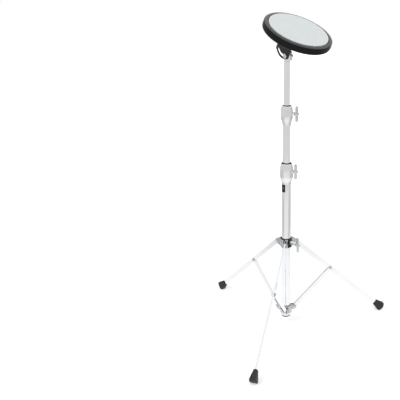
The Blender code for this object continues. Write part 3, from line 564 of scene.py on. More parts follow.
def make_label():
    """A bare film plate with rounded corners, bent round the tube."""
    low, high = extent("label_plate")
    radius = BASE_RADIUS + GAP
    centre = (low + high) / 2
    azimuth = math.atan2(centre.y, centre.x)
    half_turn = LABEL_HALF_WIDTH / (radius + LABEL_THICKNESS)
    half_width, half_height = half_turn * radius, (high.z - low.z) / 2
    outline = rounded([(-half_width, -half_height), (half_width, -half_height),
                       (half_width, half_height), (-half_width, half_height)], LABEL_CORNER, 6)
    bm = slab(outline, 0.0, LABEL_THICKNESS)
    bmesh.ops.triangulate(bm, faces=[face for face in bm.faces if len(face.verts) > 4])
    long_edges = [edge for edge in bm.edges if edge.calc_length() > LABEL_FACET]
    bmesh.ops.subdivide_edges(bm, edges=long_edges, cuts=3)
    for vert in bm.verts:
        turn = azimuth + vert.co.x / radius
        reach = radius + vert.co.y
        vert.co = Vector((reach * math.cos(turn), reach * math.sin(turn), centre.z + vert.co.z))
    bmesh.ops.recalc_face_normals(bm, faces=bm.faces)
    show("label_plate", shaped(bm), "base", sharp=50, weighted=False)


# Clamps and wing screws

CLAMP_FOOT = 0.0028             # height of a clamp's straight foot
CLAMP_SKIRT = 0.0010            # wall there
SLIT_HALF = 0.0008
BOSS_RADIUS = 0.0055
BOSS_FLARE = 0.0030             # how much wider its root is
BOSS_INSET = 0.0005             # from the bore to the boss inside the wall
BOSS_SUNK = 0.0016              # start of the flare, below the belly
FLARE_LENGTH = 0.0024
COLLAR_SEAT = 0.0005            # a bush's collar, from its top
COLLAR_TOP = 0.0018
WING_HALF_WIDTH = 0.0042
WING_HALF_THICKNESS = 0.0019
WING_THICK = 1.10               # share of the thickness at the hub
WING_THINNING = 0.25            # share lost from there to the tip
WING_POWER = 0.6                # how square the section is
WING_HUB_LENGTH = 0.0120
WING_MIDDLE = 0.0052            # from the hub's root to the middle of the wings
WING_EDGE = 0.0007


def egg(bore, skirt, belly, mouth, height, widest, taper, steps=22):
    """Wall section of a clamp; taper is the share of the way to the belly over which it widens."""
    profile = [(bore, 0.0), (skirt, 0.0), (skirt, CLAMP_FOOT)]
    for step in range(1, steps + 1):
        share = step / steps
        swell = smoothstep(share / taper)
        profile.append((skirt + (belly - skirt) * swell, CLAMP_FOOT + (widest - CLAMP_FOOT) * share))
    for step in range(1, steps + 1):
        turn = math.pi / 2 * step / steps
        radius = mouth + (belly - mouth) * math.cos(turn)
        profile.append((radius, widest + (height - widest) * math.sin(turn)))
    profile.append((bore, height))
    return profile


def make_clamp(node, tube, body, screw_joint, mouth, taper):
    low, high = extent(node)
    height, belly, boss_end = high.z - low.z, -low.x, high.x
    bore = extent(tube)[1].x + GAP
    screw = JOINTS[screw_joint]["pos_m"][2] - low.z
    casting = spun(rounded(egg(bore, bore + CLAMP_SKIRT, belly, mouth, height, screw, taper), EDGE, 3))
    inset, root, start = bore + BOSS_INSET, BOSS_RADIUS + BOSS_FLARE, belly - BOSS_SUNK
    flare = [(0.0, inset), (root, inset), (root, start)]
    for share in (0.25, 0.5, 0.75, 1.0):
        flare.append((BOSS_RADIUS + BOSS_FLARE * (1 - share) ** 2, start + FLARE_LENGTH * share))
    end = [(BOSS_RADIUS, belly), (BOSS_RADIUS, boss_end), (0.0, boss_end)]
    flare += rounded(end, EDGE, 3, closed=False)[1:]
    boss = placed(spun(flare, SMALL, "X"), z=screw)
    hole = placed(rod(SCREW_RADIUS + GAP, 0.0, boss_end + PAST, "X"), z=screw)
    slit = block((-belly - PAST, -SLIT_HALF, CLAMP_SOCKET), (-bore / 2, SLIT_HALF, height + PAST))
    mesh = shaped(casting, Matrix.Translation((0, 0, low.z)), cuts=[hole, slit], joins=[boss])
    show(node, mesh, body, sharp=36)


def make_bush(node, body, collar):
    """The bush, with a thin collar that lies on the clamp's mouth."""
    low, high = extent(node)
    inner = bore_radius(node)
    seat, top = high.z + COLLAR_SEAT, high.z + COLLAR_TOP
    profile = [(inner, low.z), (high.x, low.z), (high.x, seat), (collar, seat), (collar, top), (inner, top)]
    show(node, shaped(spun(rounded(profile, HAIR_EDGE))), body, look=BUSH_LOOK)


def wing_loft(half_height, middle_x, rows=28, points=24):
    """Two flat wings up and down the Z axis, of even width and rounded at their tips."""
    rings = [[(middle_x, 0.0, -half_height)]]
    for row in range(1, 2 * rows):
        z = -half_height * math.cos(math.pi * row / (2 * rows))
        reach = abs(z)
        tip = max((reach - (half_height - WING_HALF_WIDTH)) / WING_HALF_WIDTH, 0.0)
        roundness = math.sqrt(max(1.0 - tip ** 2, 0.0))
        thinned = WING_THICK - WING_THINNING * reach / half_height
        thick = WING_HALF_THICKNESS * thinned * roundness ** WING_POWER
        section = squarish(WING_HALF_WIDTH * roundness, thick, WING_POWER, points)
        rings.append([(middle_x + x, y, z) for x, y in section])
    rings.append([(middle_x, 0.0, half_height)])
    return skin(rings)


def make_wing_screw(node, body, matrix):
    low, high = extent(node, matrix)
    end = high.x
    root = end - WING_HUB_LENGTH
    hub = [(0.0, low.x), (SCREW_RADIUS, low.x), (SCREW_RADIUS, root), (0.0045, root),
           (0.0045, root + 0.0020), (0.0038, root + 0.0032), (0.0040, root + 0.0090),
           (0.0036, end - 0.0010), (0.0026, end), (0.0, end)]
    screw = spun(rounded(hub, WING_EDGE, 4, closed=False), SMALL, "X")
    wings = wing_loft(high.z, root + WING_MIDDLE)
    show(node, shaped(screw, matrix, joins=[wings]), body, look=WING_LOOK, sharp=50)


# Leg hub and lower hub

CORE_EDGE = 0.0018
EAR_TURNS = (-60, 75)           # degrees; the arc of a clevis ear round its pin
SADDLE_LOW = -0.0090
SADDLE_HIGH = 0.0125
RIVET_HEAD = 0.0015
RING_WALL = 0.0040
LOWER_EAR_INSET = 0.0020        # how deep the lower hub's ears reach into its ring
LOWER_EAR_HALF_HEIGHT = 0.0084
LOWER_EAR_RADIUS = 0.0062
LOWER_EAR_TURN = 80             # degrees, each way


def make_hub_core():
    here = polar(0.0, HUB_HEIGHT)
    low, high = extent("hub_core", here)
    core = spun(rounded(sleeve(bore_radius("hub_core"), high.x, low.z, high.z), CORE_EDGE, 5))
    rise = HUB_SCREW.translation.z - HUB_HEIGHT
    hole = moved(rod(SCREW_RADIUS + GAP, 0.0, high.x + PAST, "X"), HUB_SCREW.to_3x3().to_4x4())
    show("hub_core", shaped(core, here, cuts=[placed(hole, z=rise)]), "leg_hub")


def make_hub_collar():
    low, high = extent("hub_screw_collar", HUB_SCREW)
    section = sleeve(SCREW_RADIUS + GAP, high.z, low.x, high.x)
    mesh = shaped(spun(rounded(section, SOFT_EDGE), SMALL, "X"), HUB_SCREW)
    show("hub_screw_collar", mesh, "leg_hub")


def make_clevis(leg):
    """A folded sheet: the web on the core, and two ears that hold the leg between them."""
    side = SIDES[leg]
    low, high = extent("hub_clevis_front", SIDES["front"])
    pivot = side.inverted() @ LEGS[leg].translation
    outline = [(low.x, low.z)]
    outline += arc(pivot.x, 0.0, high.x - pivot.x, *EAR_TURNS, 24)
    outline += [(low.x, high.z)]
    opening = block((low.x + SHEET, low.y + SHEET, low.z - PAST),
                    (high.x + PAST, high.y - SHEET, high.z + PAST))
    hole = placed(rod(PIN_RADIUS + GAP, low.y - PAST, high.y + PAST, "Y"), x=pivot.x)
    straps = [saddle(*SADDLE_TURNS[leg])] if leg in SADDLE_TURNS else []
    solid = slab(outline, low.y, high.y)
    mesh = shaped(solid, side, cuts=[opening, hole], joins=straps, bevel=THIN_EDGE)
    show("hub_clevis_" + leg, mesh, "leg_hub", look=FOLDED_LOOK)


def saddle(start, end):
    """A strap round the core."""
    inner = extent("hub_core")[1].x + GAP
    outline = arc(0, 0, inner + SHEET, start, end, end - start) + arc(0, 0, inner, end, start, end - start)
    return skin([[(x, y, height) for x, y in outline] for height in (SADDLE_LOW, SADDLE_HIGH)])


def make_pin(node, body, matrix):
    """A rivet with a domed head and a small flat at each end."""
    here = matrix @ Matrix.Translation(matrix.inverted() @ middle(node))
    low, high = extent(node, here)
    head = high.z
    seat = high.y - RIVET_HEAD
    half = [(PIN_RADIUS, seat), (head, seat), (head, seat + 0.0005), (head * 0.86, seat + 0.0011),
            (head * 0.5, high.y), (0.0, high.y)]
    half = rounded(half, EDGE, 4, closed=False)
    profile = [(radius, -height) for radius, height in reversed(half)] + half
    show(node, shaped(spun(profile, SMALL, "Y"), here), body, weighted=False)


def make_lower_hub():
    low, high = extent("lower_hub")
    bore = BASE_RADIUS + GAP
    ring = spun(rounded(sleeve(bore, bore + RING_WALL, low.z, high.z), SOFT_EDGE, 4))
    joins, cuts = [], []
    for leg, side in LOWER_SIDES.items():
        pivot = side.inverted() @ STRUTS[leg].translation
        strut = extent(leg + "_strut", STRUTS[leg])
        for sign in (-1, 1):
            near = pivot.y + sign * (strut[1].y + GAP)
            far = near + sign * SHEET
            root = math.sqrt((bore + LOWER_EAR_INSET) ** 2 - max(abs(near), abs(far)) ** 2)
            outline = arc(pivot.x, 0.0, LOWER_EAR_RADIUS, -LOWER_EAR_TURN, LOWER_EAR_TURN, 20)
            outline = [(root, -LOWER_EAR_HALF_HEIGHT)] + outline + [(root, LOWER_EAR_HALF_HEIGHT)]
            joins.append(moved(slab(outline, near, far), side))
        hole = placed(rod(PIN_RADIUS + GAP, -PAST, PAST, "Y"), x=pivot.x, y=pivot.y)
        cuts.append(moved(hole, side))
    mesh = shaped(ring, cuts=cuts, joins=joins, bevel=HAIR_EDGE, steps=2)
    show("lower_hub", mesh, "base", look=FOLDED_LOOK)


# Legs, struts and feet

LEG_EDGE = 0.0013
LEG_PLAY = 0.0010               # of the rivet in a leg's lower hole
STRUT_EDGE = 0.0004
WEB_START = 0.0100              # of a strut's web, from its lower pin
WEB_STOP = 0.0220               # short of its rivet
BOOT_HALF_WIDTH = 0.00825       # at the lip
BOOT_HALF_THICKNESS = 0.0050
BOOT_POWER = 0.42               # how square its section is
BOOT_SOCKET = 0.0160
SOLE_BULGE = 0.0045
SOLE_DROP = 0.0018
# Share of the way down a boot, and shares of its width and thickness there
BOOT_LEVELS = [(0.0, 0.86, 0.84), (0.03, 0.95, 0.94), (0.07, 1.0, 1.0), (0.15, 1.0, 1.0), (0.19, 0.96, 0.95),
               (0.24, 0.96, 0.95), (0.28, 1.0, 1.0), (0.5, 1.0, 1.0), (0.8, 1.0, 1.0), (0.9, 1.0, 1.0),
               (1.0, 1.0, 1.0)]
# Shares of the sole's width, and how far each ring has dropped
SOLE_RINGS = [(0.985, 0.0006), (0.94, 0.0013), (0.86, SOLE_DROP), (0.6, SOLE_DROP), (0.3, SOLE_DROP)]


def make_leg(leg):
    """A flat bar with rolled edges."""
    matrix = LEGS[leg]
    node = leg + "_leg"
    low, high = extent(node, matrix)
    half = high.x
    outline = arc(0, 0, half, 0, 180, 32) + [(-half, low.z), (half, low.z)]
    rivet = matrix.inverted() @ middle(leg + "_rivet")
    holes = [rod(PIN_RADIUS + GAP, low.y - PAST, high.y + PAST, "Y"),
             placed(rod(PIN_RADIUS + LEG_PLAY, low.y - PAST, high.y + PAST, "Y"), z=rivet.z)]
    mesh = shaped(slab(outline, low.y, high.y), matrix, cuts=holes, bevel=LEG_EDGE, steps=5)
    show(node, mesh, "leg_" + leg)


def make_strut(leg):
    """A folded channel; its web stops short of the leg, so that the ears can straddle it."""
    matrix = STRUTS[leg]
    node = leg + "_strut"
    low, high = extent(node, matrix)
    half = high.x
    rivet = (matrix.inverted() @ middle(leg + "_rivet")).z
    outline = arc(0, 0, half, 180, 360, 24) + arc(0, rivet, half, 0, 180, 24)
    web = -half + STRUT_SHEET
    web_high = rivet - WEB_STOP
    channel = [(-PAST, -PAST), (PAST, -PAST), (PAST, rivet + PAST), (-PAST, rivet + PAST),
               (-PAST, web_high), (web, web_high), (web, WEB_START), (-PAST, WEB_START)]
    cuts = [slab(channel, low.y + STRUT_SHEET, high.y - STRUT_SHEET)]
    cuts += [placed(rod(PIN_RADIUS + GAP, low.y - PAST, high.y + PAST, "Y"), z=z) for z in (0.0, rivet)]
    mesh = shaped(slab(outline, low.y, high.y), matrix, cuts=cuts, bevel=STRUT_EDGE)
    show(node, mesh, "strut_" + leg)


def make_foot(leg):
    """A moulded boot: a lip round the leg, tapering sides, a crowned sole cut flat by the floor."""
    matrix = LEGS[leg]
    node = leg + "_foot"
    low, high = extent(node, matrix)
    bar_low, bar_high = extent(leg + "_leg", matrix)
    top, half_sole = high.z, high.x
    length = top - low.z - SOLE_BULGE
    rings = []
    for share, wide, thick in BOOT_LEVELS:
        half_x = (BOOT_HALF_WIDTH + (half_sole - BOOT_HALF_WIDTH) * share) * wide
        half_y = (BOOT_HALF_THICKNESS + (high.y - BOOT_HALF_THICKNESS) * share) * thick
        rings.append([(x, y, top - length * share) for x, y in squarish(half_x, half_y, BOOT_POWER, 64)])
    edge = rings[-1]
    sole_radius = (half_sole ** 2 + SOLE_BULGE ** 2) / (2 * SOLE_BULGE)
    flat = math.sqrt(sole_radius ** 2 - half_sole ** 2)
    for shrink, drop in SOLE_RINGS:
        ring = []
        for x, y, z in edge:
            sag = math.sqrt(max(sole_radius ** 2 - (x * shrink) ** 2, 0.0)) - flat
            fall = min(sag, SOLE_BULGE) * min(drop / SOLE_DROP, 1.0)
            ring.append((x * shrink, y * shrink, top - length - fall))
        rings.append(ring)
    rings.append([(0.0, 0.0, low.z)])
    socket = block((-bar_high.x - GAP, bar_low.y - GAP, top - BOOT_SOCKET),
                   (bar_high.x + GAP, bar_high.y + GAP, top + PAST))
    floor = moved(block((-1, -1, -1), (1, 1, 0)), matrix.inverted())
    show(node, shaped(skin(rings), matrix, cuts=[socket, floor]), "leg_" + leg, sharp=45)


# Head, bracket and their fasteners

HEAD_HALF_WIDTH = 0.0080
HEAD_HALF_THICKNESS = 0.0040
STEM_OVERLAP = 0.0010
BOLT_HEAD = 0.0035
BOLT_DOME = 0.0029
BOLT_THREAD = 0.0032            # length of thread that shows
THREAD_DEPTH = 0.0005
STUD_THREAD_DEPTH = 0.0006
NUT_FACE = 0.90                 # radius of a nut's flat face, as a share of its corners' radius
NUT_CHAMFER = 0.0009
WING_NUT_LENGTH = 0.0115
WING_NUT_FOOT = 0.0060          # radius of its hub on the washer
WING_NUT_FLANGE = 0.0016
WING_NUT_TOP = 0.0048
WING_NUT_LEVEL = 0.0074         # of its wings, above the washer
WING_NUT_LEAN = 0.0010
WING_NUT_INSET = 0.0010         # of the wings' roots, beyond the bore
WING_NUT_TIP = 0.20             # share of a wing that its rounded tip takes
WING_NUT_ROWS = 14
BRACKET_FOLD = 0.0030
SLOT_TURN = 36.0                # degrees, each way


def make_head_block():
    low, high = extent("head_block", HEAD)
    shoulder = extent("upper_tube", HEAD)[1].z + GAP
    spigot = extent("upper_tube")[1].x - TUBE_WALL - GAP
    half = HEAD_HALF_WIDTH
    outline = [(-half, shoulder), (half, shoulder)] + arc(0, 0, half, 0, 180, 32)
    stem = rod(spigot, low.z, shoulder + STEM_OVERLAP, "Z", ROUND)
    holes = [placed(rod(SCREW_RADIUS + GAP, -PAST, PAST, "Y"), z=z) for z in (0.0, LOCK_HEIGHT)]
    solid = slab(outline, -HEAD_HALF_THICKNESS, HEAD_HALF_THICKNESS)
    mesh = shaped(solid, HEAD, cuts=holes, joins=[stem], bevel=WIDE_EDGE, steps=4)
    show("head_block", mesh, "upper_stage")


def make_bolt(node, height, look=None):
    """A domed bolt whose end shows its thread."""
    here = HEAD @ Matrix.Translation((0, 0, height))
    low, high = extent(node, here)
    radius = high.z
    seat = low.y + BOLT_HEAD
    dome = [(radius * math.sin(turn), low.y + BOLT_DOME * (1 - math.cos(turn)))
            for turn in [math.pi / 2 * step / 12 for step in range(13)]]
    end = high.y - BOLT_THREAD
    profile = dome + [(radius, seat), (SCREW_RADIUS, seat), (SCREW_RADIUS, end), (0.0, end)]
    thread = threaded(SCREW_RADIUS, THREAD_DEPTH, SCREW_PITCH, end - 0.0002, high.y, "Y")
    mesh = shaped(spun(profile, SMALL, "Y"), here, joins=[thread])
    show(node, mesh, "upper_stage", look=look, sharp=45)


def make_nut(node, body, matrix, axis, hole):
    """A hexagon nut with its corners chamfered."""
    low, high = extent(node, matrix)
    centre = matrix.inverted() @ middle(node)
    if axis == "Y":
        start, end, flats, offset = low.y, high.y, high.z - low.z, (centre.x, 0.0, centre.z)
    else:
        start, end, flats, offset = low.z, high.z, high.y - low.y, (centre.x, centre.y, 0.0)
    corner = max(flats, high.x - low.x) / 2
    face, edge = corner * NUT_FACE, corner * 1.01
    cone = [(0.0, start - 0.0001), (face, start - 0.0001), (edge, start + NUT_CHAMFER),
            (edge, end - NUT_CHAMFER), (face, end + 0.0001), (0.0, end + 0.0001)]
    hexagon = placed(spun(sleeve(0.0, corner, start, end), 6, axis), *offset)
    trim = placed(spun(rounded(cone, 0.0002, 2, closed=False), SMALL, axis), *offset)
    bore = placed(rod(hole + GAP, start - PAST, end + PAST, axis), *offset)
    show(node, shaped(hexagon, matrix, cuts=[bore], trims=[trim]), body, sharp=20)


def make_washer():
    here = HEAD @ Matrix.Translation(HEAD.inverted() @ middle("lock_washer"))
    low, high = extent("lock_washer", here)
    section = sleeve(SCREW_RADIUS + GAP, high.z, low.y, high.y)
    show("lock_washer", shaped(spun(rounded(section, HAIR_EDGE), SMALL, "Y"), here), "upper_stage")


def make_tilt_wing_nut():
    """A cast wing nut whose wings stand up and down and lean away from the head."""
    here = HEAD @ Matrix.Translation((0, 0, (HEAD.inverted() @ middle("tilt_wing_nut")).z))
    low, high = extent("tilt_wing_nut", here)
    bore = SCREW_RADIUS + GAP
    end = low.y + WING_NUT_LENGTH
    profile = [(bore, low.y), (WING_NUT_FOOT, low.y), (WING_NUT_FOOT, low.y + WING_NUT_FLANGE),
               (WING_NUT_TOP, end), (bore, end)]
    hub = spun(rounded(profile, EDGE), SMALL, "Y")
    span = high.z - bore - WING_NUT_INSET
    turns = [2 * math.pi * i / 20 for i in range(20)]
    wings = []
    for sign in (-1, 1):
        rings = []
        for row in range(WING_NUT_ROWS + 1):
            share = row / WING_NUT_ROWS
            along_tip = max((share - 1 + WING_NUT_TIP) / WING_NUT_TIP, 0.0)
            tip = max(math.sqrt(max(1.0 - along_tip ** 2, 0.0)), 0.02)
            wide = (0.0030 + 0.0012 * smoothstep(share / 0.7)) * tip
            thick = (0.0014 - 0.0003 * share) * tip ** WING_POWER
            level = low.y + WING_NUT_LEVEL + WING_NUT_LEAN * share
            reach = sign * (bore + WING_NUT_INSET + span * share)
            rings.append([(thick * math.sin(turn), level + wide * math.cos(turn), reach) for turn in turns])
        wings.append(skin(rings))
    show("tilt_wing_nut", shaped(hub, here, joins=wings), "wing_nut", look=WING_LOOK, sharp=50)


def make_bracket():
    """An angle of coated sheet: slotted plate, rounded fold and flange."""
    low, high = extent("tilt_bracket", BRACKET)
    front, far = low.y, high.y
    half = high.x
    bend_y, bend_z = front + BRACKET_FOLD, high.z - BRACKET_FOLD
    blank_low = low.z - GAP
    section = [(front, blank_low)] + arc(bend_y, bend_z, BRACKET_FOLD, 180, 90, 10)
    section += [(far, high.z), (far, high.z - BRACKET_SHEET)]
    section += arc(bend_y, bend_z, BRACKET_FOLD - BRACKET_SHEET, 90, 180, 6)
    section += [(front + BRACKET_SHEET, blank_low)]
    plate = moved(slab(section, -half, half), Matrix.Rotation(math.pi / 2, 4, "Z"))
    cut_front, cut_back = front - PAST, front + BRACKET_SHEET + GAP
    side_turn = math.degrees(math.acos(min(half / -low.z, 1.0)))
    trim = arc(0, 0, -low.z, 180 + side_turn, 360 - side_turn, 48)
    side_end = trim[-1][1]
    trim += [(half + PAST, side_end), (half + PAST, low.z - PAST), (-half - PAST, low.z - PAST),
             (-half - PAST, side_end)]
    radius = -LOCK_HEIGHT
    slot_half = SCREW_RADIUS + GAP
    left, right = 270 - SLOT_TURN, 270 + SLOT_TURN
    end_x, end_z = radius * math.cos(math.radians(right)), radius * math.sin(math.radians(right))
    slot = arc(0, 0, radius + slot_half, left, right, 40)
    slot += arc(end_x, end_z, slot_half, right, right + 180, 14)[1:-1]
    slot += arc(0, 0, radius - slot_half, right, left, 40)
    slot += arc(-end_x, end_z, slot_half, left + 180, left + 360, 14)[1:-1]
    cuts = [slab(trim, cut_front, cut_back), slab(slot, cut_front, cut_back),
            rod(SCREW_RADIUS + GAP, cut_front, cut_back, "Y"),
            placed(rod(STUD_RADIUS + GAP, 0.0, high.z + PAST), y=STUD_Y)]
    show("tilt_bracket", shaped(plate, BRACKET, cuts=cuts, bevel=THIN_EDGE), "bracket")


def make_stud():
    here = BRACKET @ Matrix.Translation((0, STUD_Y, 0))
    low, high = extent("pad_stud", here)
    thread = threaded(high.x, STUD_THREAD_DEPTH, STUD_PITCH, low.z, high.z)
    show("pad_stud", shaped(thread, here), "bracket", sharp=60, weighted=False)


# Practice pad

RIM_FOOT = 0.0060               # radius under the rim
RIM_SHOULDER = 0.0020           # radius at its upper edge
RIM_LEAN = 0.0006               # of the side, inwards
RIM_DROP = 0.0019               # of the top, from the face to the shoulder
RIM_TOP_WIDTH = 0.0026          # of the highest part, beside the face
RIM_TOP_POWER = 1.6             # how quickly the top falls off
RIM_GROOVE = [(0.0018, 0.0003), (0.0012, 0.0011), (0.0, 0.0022)]    # out from the face, down from the top
RIM_TOP_FACING = 0.85           # least upward share of a normal on the top
FACE_CROWN = 0.0012


def make_pad():
    make_rim()
    low, high = extent("pad_face", PAD)
    face = high.x
    section = [(0.0, low.z), (face, low.z), (face, high.z - FACE_CROWN)]
    section += arc(face - FACE_CROWN, high.z - FACE_CROWN, FACE_CROWN, 10, 90, 8)
    section += [(face * 0.66, high.z), (face * 0.33, high.z), (0.0, high.z)]
    cover = show("pad_face", shaped(spun(section, FINE), PAD), "pad", sharp=30)

    low, high = extent("pad_foam", PAD)
    section = rounded(sleeve(0.0, high.x, low.z, high.z), WIDE_EDGE, 3, closed=False)
    layer = show("pad_foam", shaped(spun(section, FINE), PAD), "pad")

    low, high = extent("pad_board", PAD)
    insert_low, insert_high = extent("pad_insert", PAD)
    section = sleeve(insert_high.x + GAP, high.x, low.z, high.z)
    show("pad_board", shaped(spun(rounded(section, WIDE_EDGE, 4), FINE), PAD), "pad")
    section = sleeve(STUD_RADIUS + GAP, insert_high.x, insert_low.z, insert_high.z)
    show("pad_insert", shaped(spun(rounded(section, EDGE, 3), SMALL), PAD), "pad")


def make_rim():
    """A rubber ring whose top slopes up to the face and ends in a narrow groove."""
    low, high = extent("pad_rim", PAD)
    board = extent("pad_board", PAD)[1]
    outer, top, base = high.x, high.z, low.z
    inner = extent("pad_face", PAD)[1].x + GAP
    profile = [(board.x + GAP, base)] + arc(outer - RIM_FOOT, base + RIM_FOOT, RIM_FOOT, -90, 0, 16)
    profile += arc(outer - RIM_LEAN - RIM_SHOULDER, top - RIM_DROP - RIM_SHOULDER, RIM_SHOULDER, 0, 76, 14)
    (start, height), reach = profile[-1], inner + RIM_TOP_WIDTH
    for step in range(1, 9):
        share = step / 8
        rise = 1 - (1 - share) ** RIM_TOP_POWER
        profile.append((start + (reach - start) * share, height + (top - 0.0001 - height) * rise))
    profile += [(inner + out, top - down) for out, down in RIM_GROOVE]
    profile += [(inner, board.z + GAP), (board.x + GAP, board.z + GAP)]
    rim = show("pad_rim", shaped(spun(profile, FINE), PAD), "pad", look=RIM_LOOK, sharp=30)
    # faces that look up take rim_top: glossier rubber with a painted highlight, a shade lighter than the side
    rim.data.materials.append(RIM_TOP_LOOK)
    for polygon in rim.data.polygons:
        polygon.material_index = int(polygon.normal.dot(PAD_UP) > RIM_TOP_FACING)


# Stage

CAMERA_AZIMUTH = 15.94          # of the photograph's view, about the tubes
CAMERA_DISTANCE = 1.4356
CAMERA_HEIGHT = 0.8252
CAMERA_PITCH = 12.64
FOCAL_PIXELS = 535.24
IMAGE_PIXELS = 400
AXIS_PIXEL = (286.6, 155.0)     # where the lens axis meets the picture
CAMERA_ROLL = 0.26
CLIP_RANGE = (0.05, 60.0)
SENSOR_WIDTH = 36.0             # millimetres


def make_camera():
    data = bpy.data.cameras.new("camera")
    data.sensor_width = SENSOR_WIDTH
    data.lens = FOCAL_PIXELS / IMAGE_PIXELS * data.sensor_width
    data.shift_x = (IMAGE_PIXELS / 2 - AXIS_PIXEL[0]) / IMAGE_PIXELS
    data.shift_y = (AXIS_PIXEL[1] - IMAGE_PIXELS / 2) / IMAGE_PIXELS
    data.clip_start, data.clip_end = CLIP_RANGE
    camera = linked("camera", data)
    turn = math.radians(CAMERA_AZIMUTH)
    side = Vector((math.sin(turn), -math.cos(turn), 0.0)) * CAMERA_DISTANCE
    place = Matrix.Translation((side.x, side.y, CAMERA_HEIGHT))
    aim = Matrix.Rotation(turn, 4, "Z") @ Matrix.Rotation(math.radians(90 - CAMERA_PITCH), 4, "X")
    camera.matrix_world = place @ aim @ Matrix.Rotation(math.radians(CAMERA_ROLL), 4, "Z")
    bpy.context.scene.camera = camera


CAMERA_SIDE = (math.sin(math.radians(CAMERA_AZIMUTH)), -math.cos(math.radians(CAMERA_AZIMUTH)), 0.0)


FLOOR_SIZE = 30.0
FLOOR_LEVEL = -0.0002           # just under the feet
FLOOR_LIFT = 0.36               # added to the floor in the camera's eyes, round the stand
WORLD_LEVEL = 0.62              # for diffuse light
MIRROR_NEAR = 1.22              # floor under the legs, as mirrors see it
MIRROR_FRONT = 1.02             # a metre off towards the photograph's side
MIRROR_SIDE = 0.69              # a metre off to each side
MIRROR_BACK = 0.15              # added to that behind the stand
MIRROR_FAR = 0.83               # far floor and walls
MIRROR_TOP = 1.12               # overhead
FRONT_FACING = (0.30, 0.85)     # cosines from the photograph's side, where the front level comes in
BACK_FACING = (-0.9, -0.4)      # and where the back level goes out
CEILING_RISE = (0.45, 0.75)     # sines of elevation where the walls give way to the ceiling
NEAR_REACH = (0.30, 0.95)       # metres over which the near level gives way
FAR_REACH = (1.2, 3.2)          # metres over which the far level takes over
LIFT_REACH = (0.5, 2.5)         # metres over which the floor goes white to the camera


class Graph:
    """Short names for the node trees of the floor and the world."""

    def __init__(self, tree):
        self.tree = tree
        tree.nodes.clear()

    def plug(self, socket, value):
        if isinstance(value, bpy.types.NodeSocket):
            self.tree.links.new(value, socket)
        else:
            socket.default_value = value

    def maths(self, operation, first, second=0.0):
        node = self.tree.nodes.new("ShaderNodeMath")
        node.operation = operation
        self.plug(node.inputs[0], first)
        self.plug(node.inputs[1], second)
        return node.outputs[0]

    def vector(self, operation, first, second=(0.0, 0.0, 0.0), out="Vector"):
        node = self.tree.nodes.new("ShaderNodeVectorMath")
        node.operation = operation
        self.plug(node.inputs[0], first)
        self.plug(node.inputs[1], second)
        return node.outputs[out]

    def step(self, value, start, end, low=0.0, high=1.0):
        """Runs smoothly from low to high as the value goes from start to end."""
        node = self.tree.nodes.new("ShaderNodeMapRange")
        node.interpolation_type = "SMOOTHSTEP"
        names = ("Value", "From Min", "From Max", "To Min", "To Max")
        for name, item in zip(names, (value, start, end, low, high)):
            self.plug(node.inputs[name], item)
        return node.outputs["Result"]

    def mixed(self, share, first, second):
        kept = self.maths("MULTIPLY", self.maths("SUBTRACT", 1.0, share), first)
        return self.maths("ADD", kept, self.maths("MULTIPLY", share, second))

    def light(self, kind, strength):
        node = self.tree.nodes.new(kind)
        node.inputs["Color"].default_value = (1.0, 1.0, 1.0, 1.0)
        self.plug(node.inputs["Strength"], strength)
        return node.outputs[0]

    def choose(self, share, first, second):
        node = self.tree.nodes.new("ShaderNodeMixShader")
        self.plug(node.inputs[0], share)
        self.plug(node.inputs[1], first)
        self.plug(node.inputs[2], second)
        return node.outputs[0]


def make_floor():
    """A pale floor that keeps the shadow; mirrors see it white nearby and soft grey further off."""
    bm = bmesh.new()
    bmesh.ops.create_grid(bm, x_segments=4, y_segments=4, size=FLOOR_SIZE)
    mesh = bpy.data.meshes.new("floor")
    bm.to_mesh(mesh)
    bm.free()
    floor = linked("floor", mesh)
    floor.location = (0.0, 0.0, FLOOR_LEVEL)
    material = bpy.data.materials.new("floor")
    material.use_nodes = True
    graph = Graph(material.node_tree)
    nodes = graph.tree.nodes
    place = nodes.new("ShaderNodeTexCoord").outputs["Object"]
    reach = graph.vector("LENGTH", place, out="Value")
    facing = graph.vector("DOT_PRODUCT", graph.vector("NORMALIZE", place), CAMERA_SIDE, out="Value")
    ring = graph.maths("ADD", graph.step(facing, *FRONT_FACING, MIRROR_SIDE, MIRROR_FRONT),
                       graph.step(facing, *BACK_FACING, MIRROR_BACK, 0.0))
    level = graph.mixed(graph.step(reach, *NEAR_REACH), MIRROR_NEAR, ring)
    level = graph.mixed(graph.step(reach, *FAR_REACH), level, MIRROR_FAR)
    diffuse = nodes.new("ShaderNodeBsdfDiffuse")
    diffuse.inputs["Color"].default_value = (0.80, 0.80, 0.80, 1.0)
    path = nodes.new("ShaderNodeLightPath")
    lift = graph.step(reach, *LIFT_REACH, FLOOR_LIFT, 1.0)
    lift = graph.maths("MULTIPLY", path.outputs["Is Camera Ray"], lift)
    total = nodes.new("ShaderNodeAddShader")
    graph.plug(total.inputs[0], diffuse.outputs[0])
    graph.plug(total.inputs[1], graph.light("ShaderNodeEmission", lift))
    mirrored = graph.light("ShaderNodeEmission", level)
    surface = graph.choose(path.outputs["Is Glossy Ray"], total.outputs[0], mirrored)
    graph.plug(nodes.new("ShaderNodeOutputMaterial").inputs["Surface"], surface)
    mesh.materials.append(material)


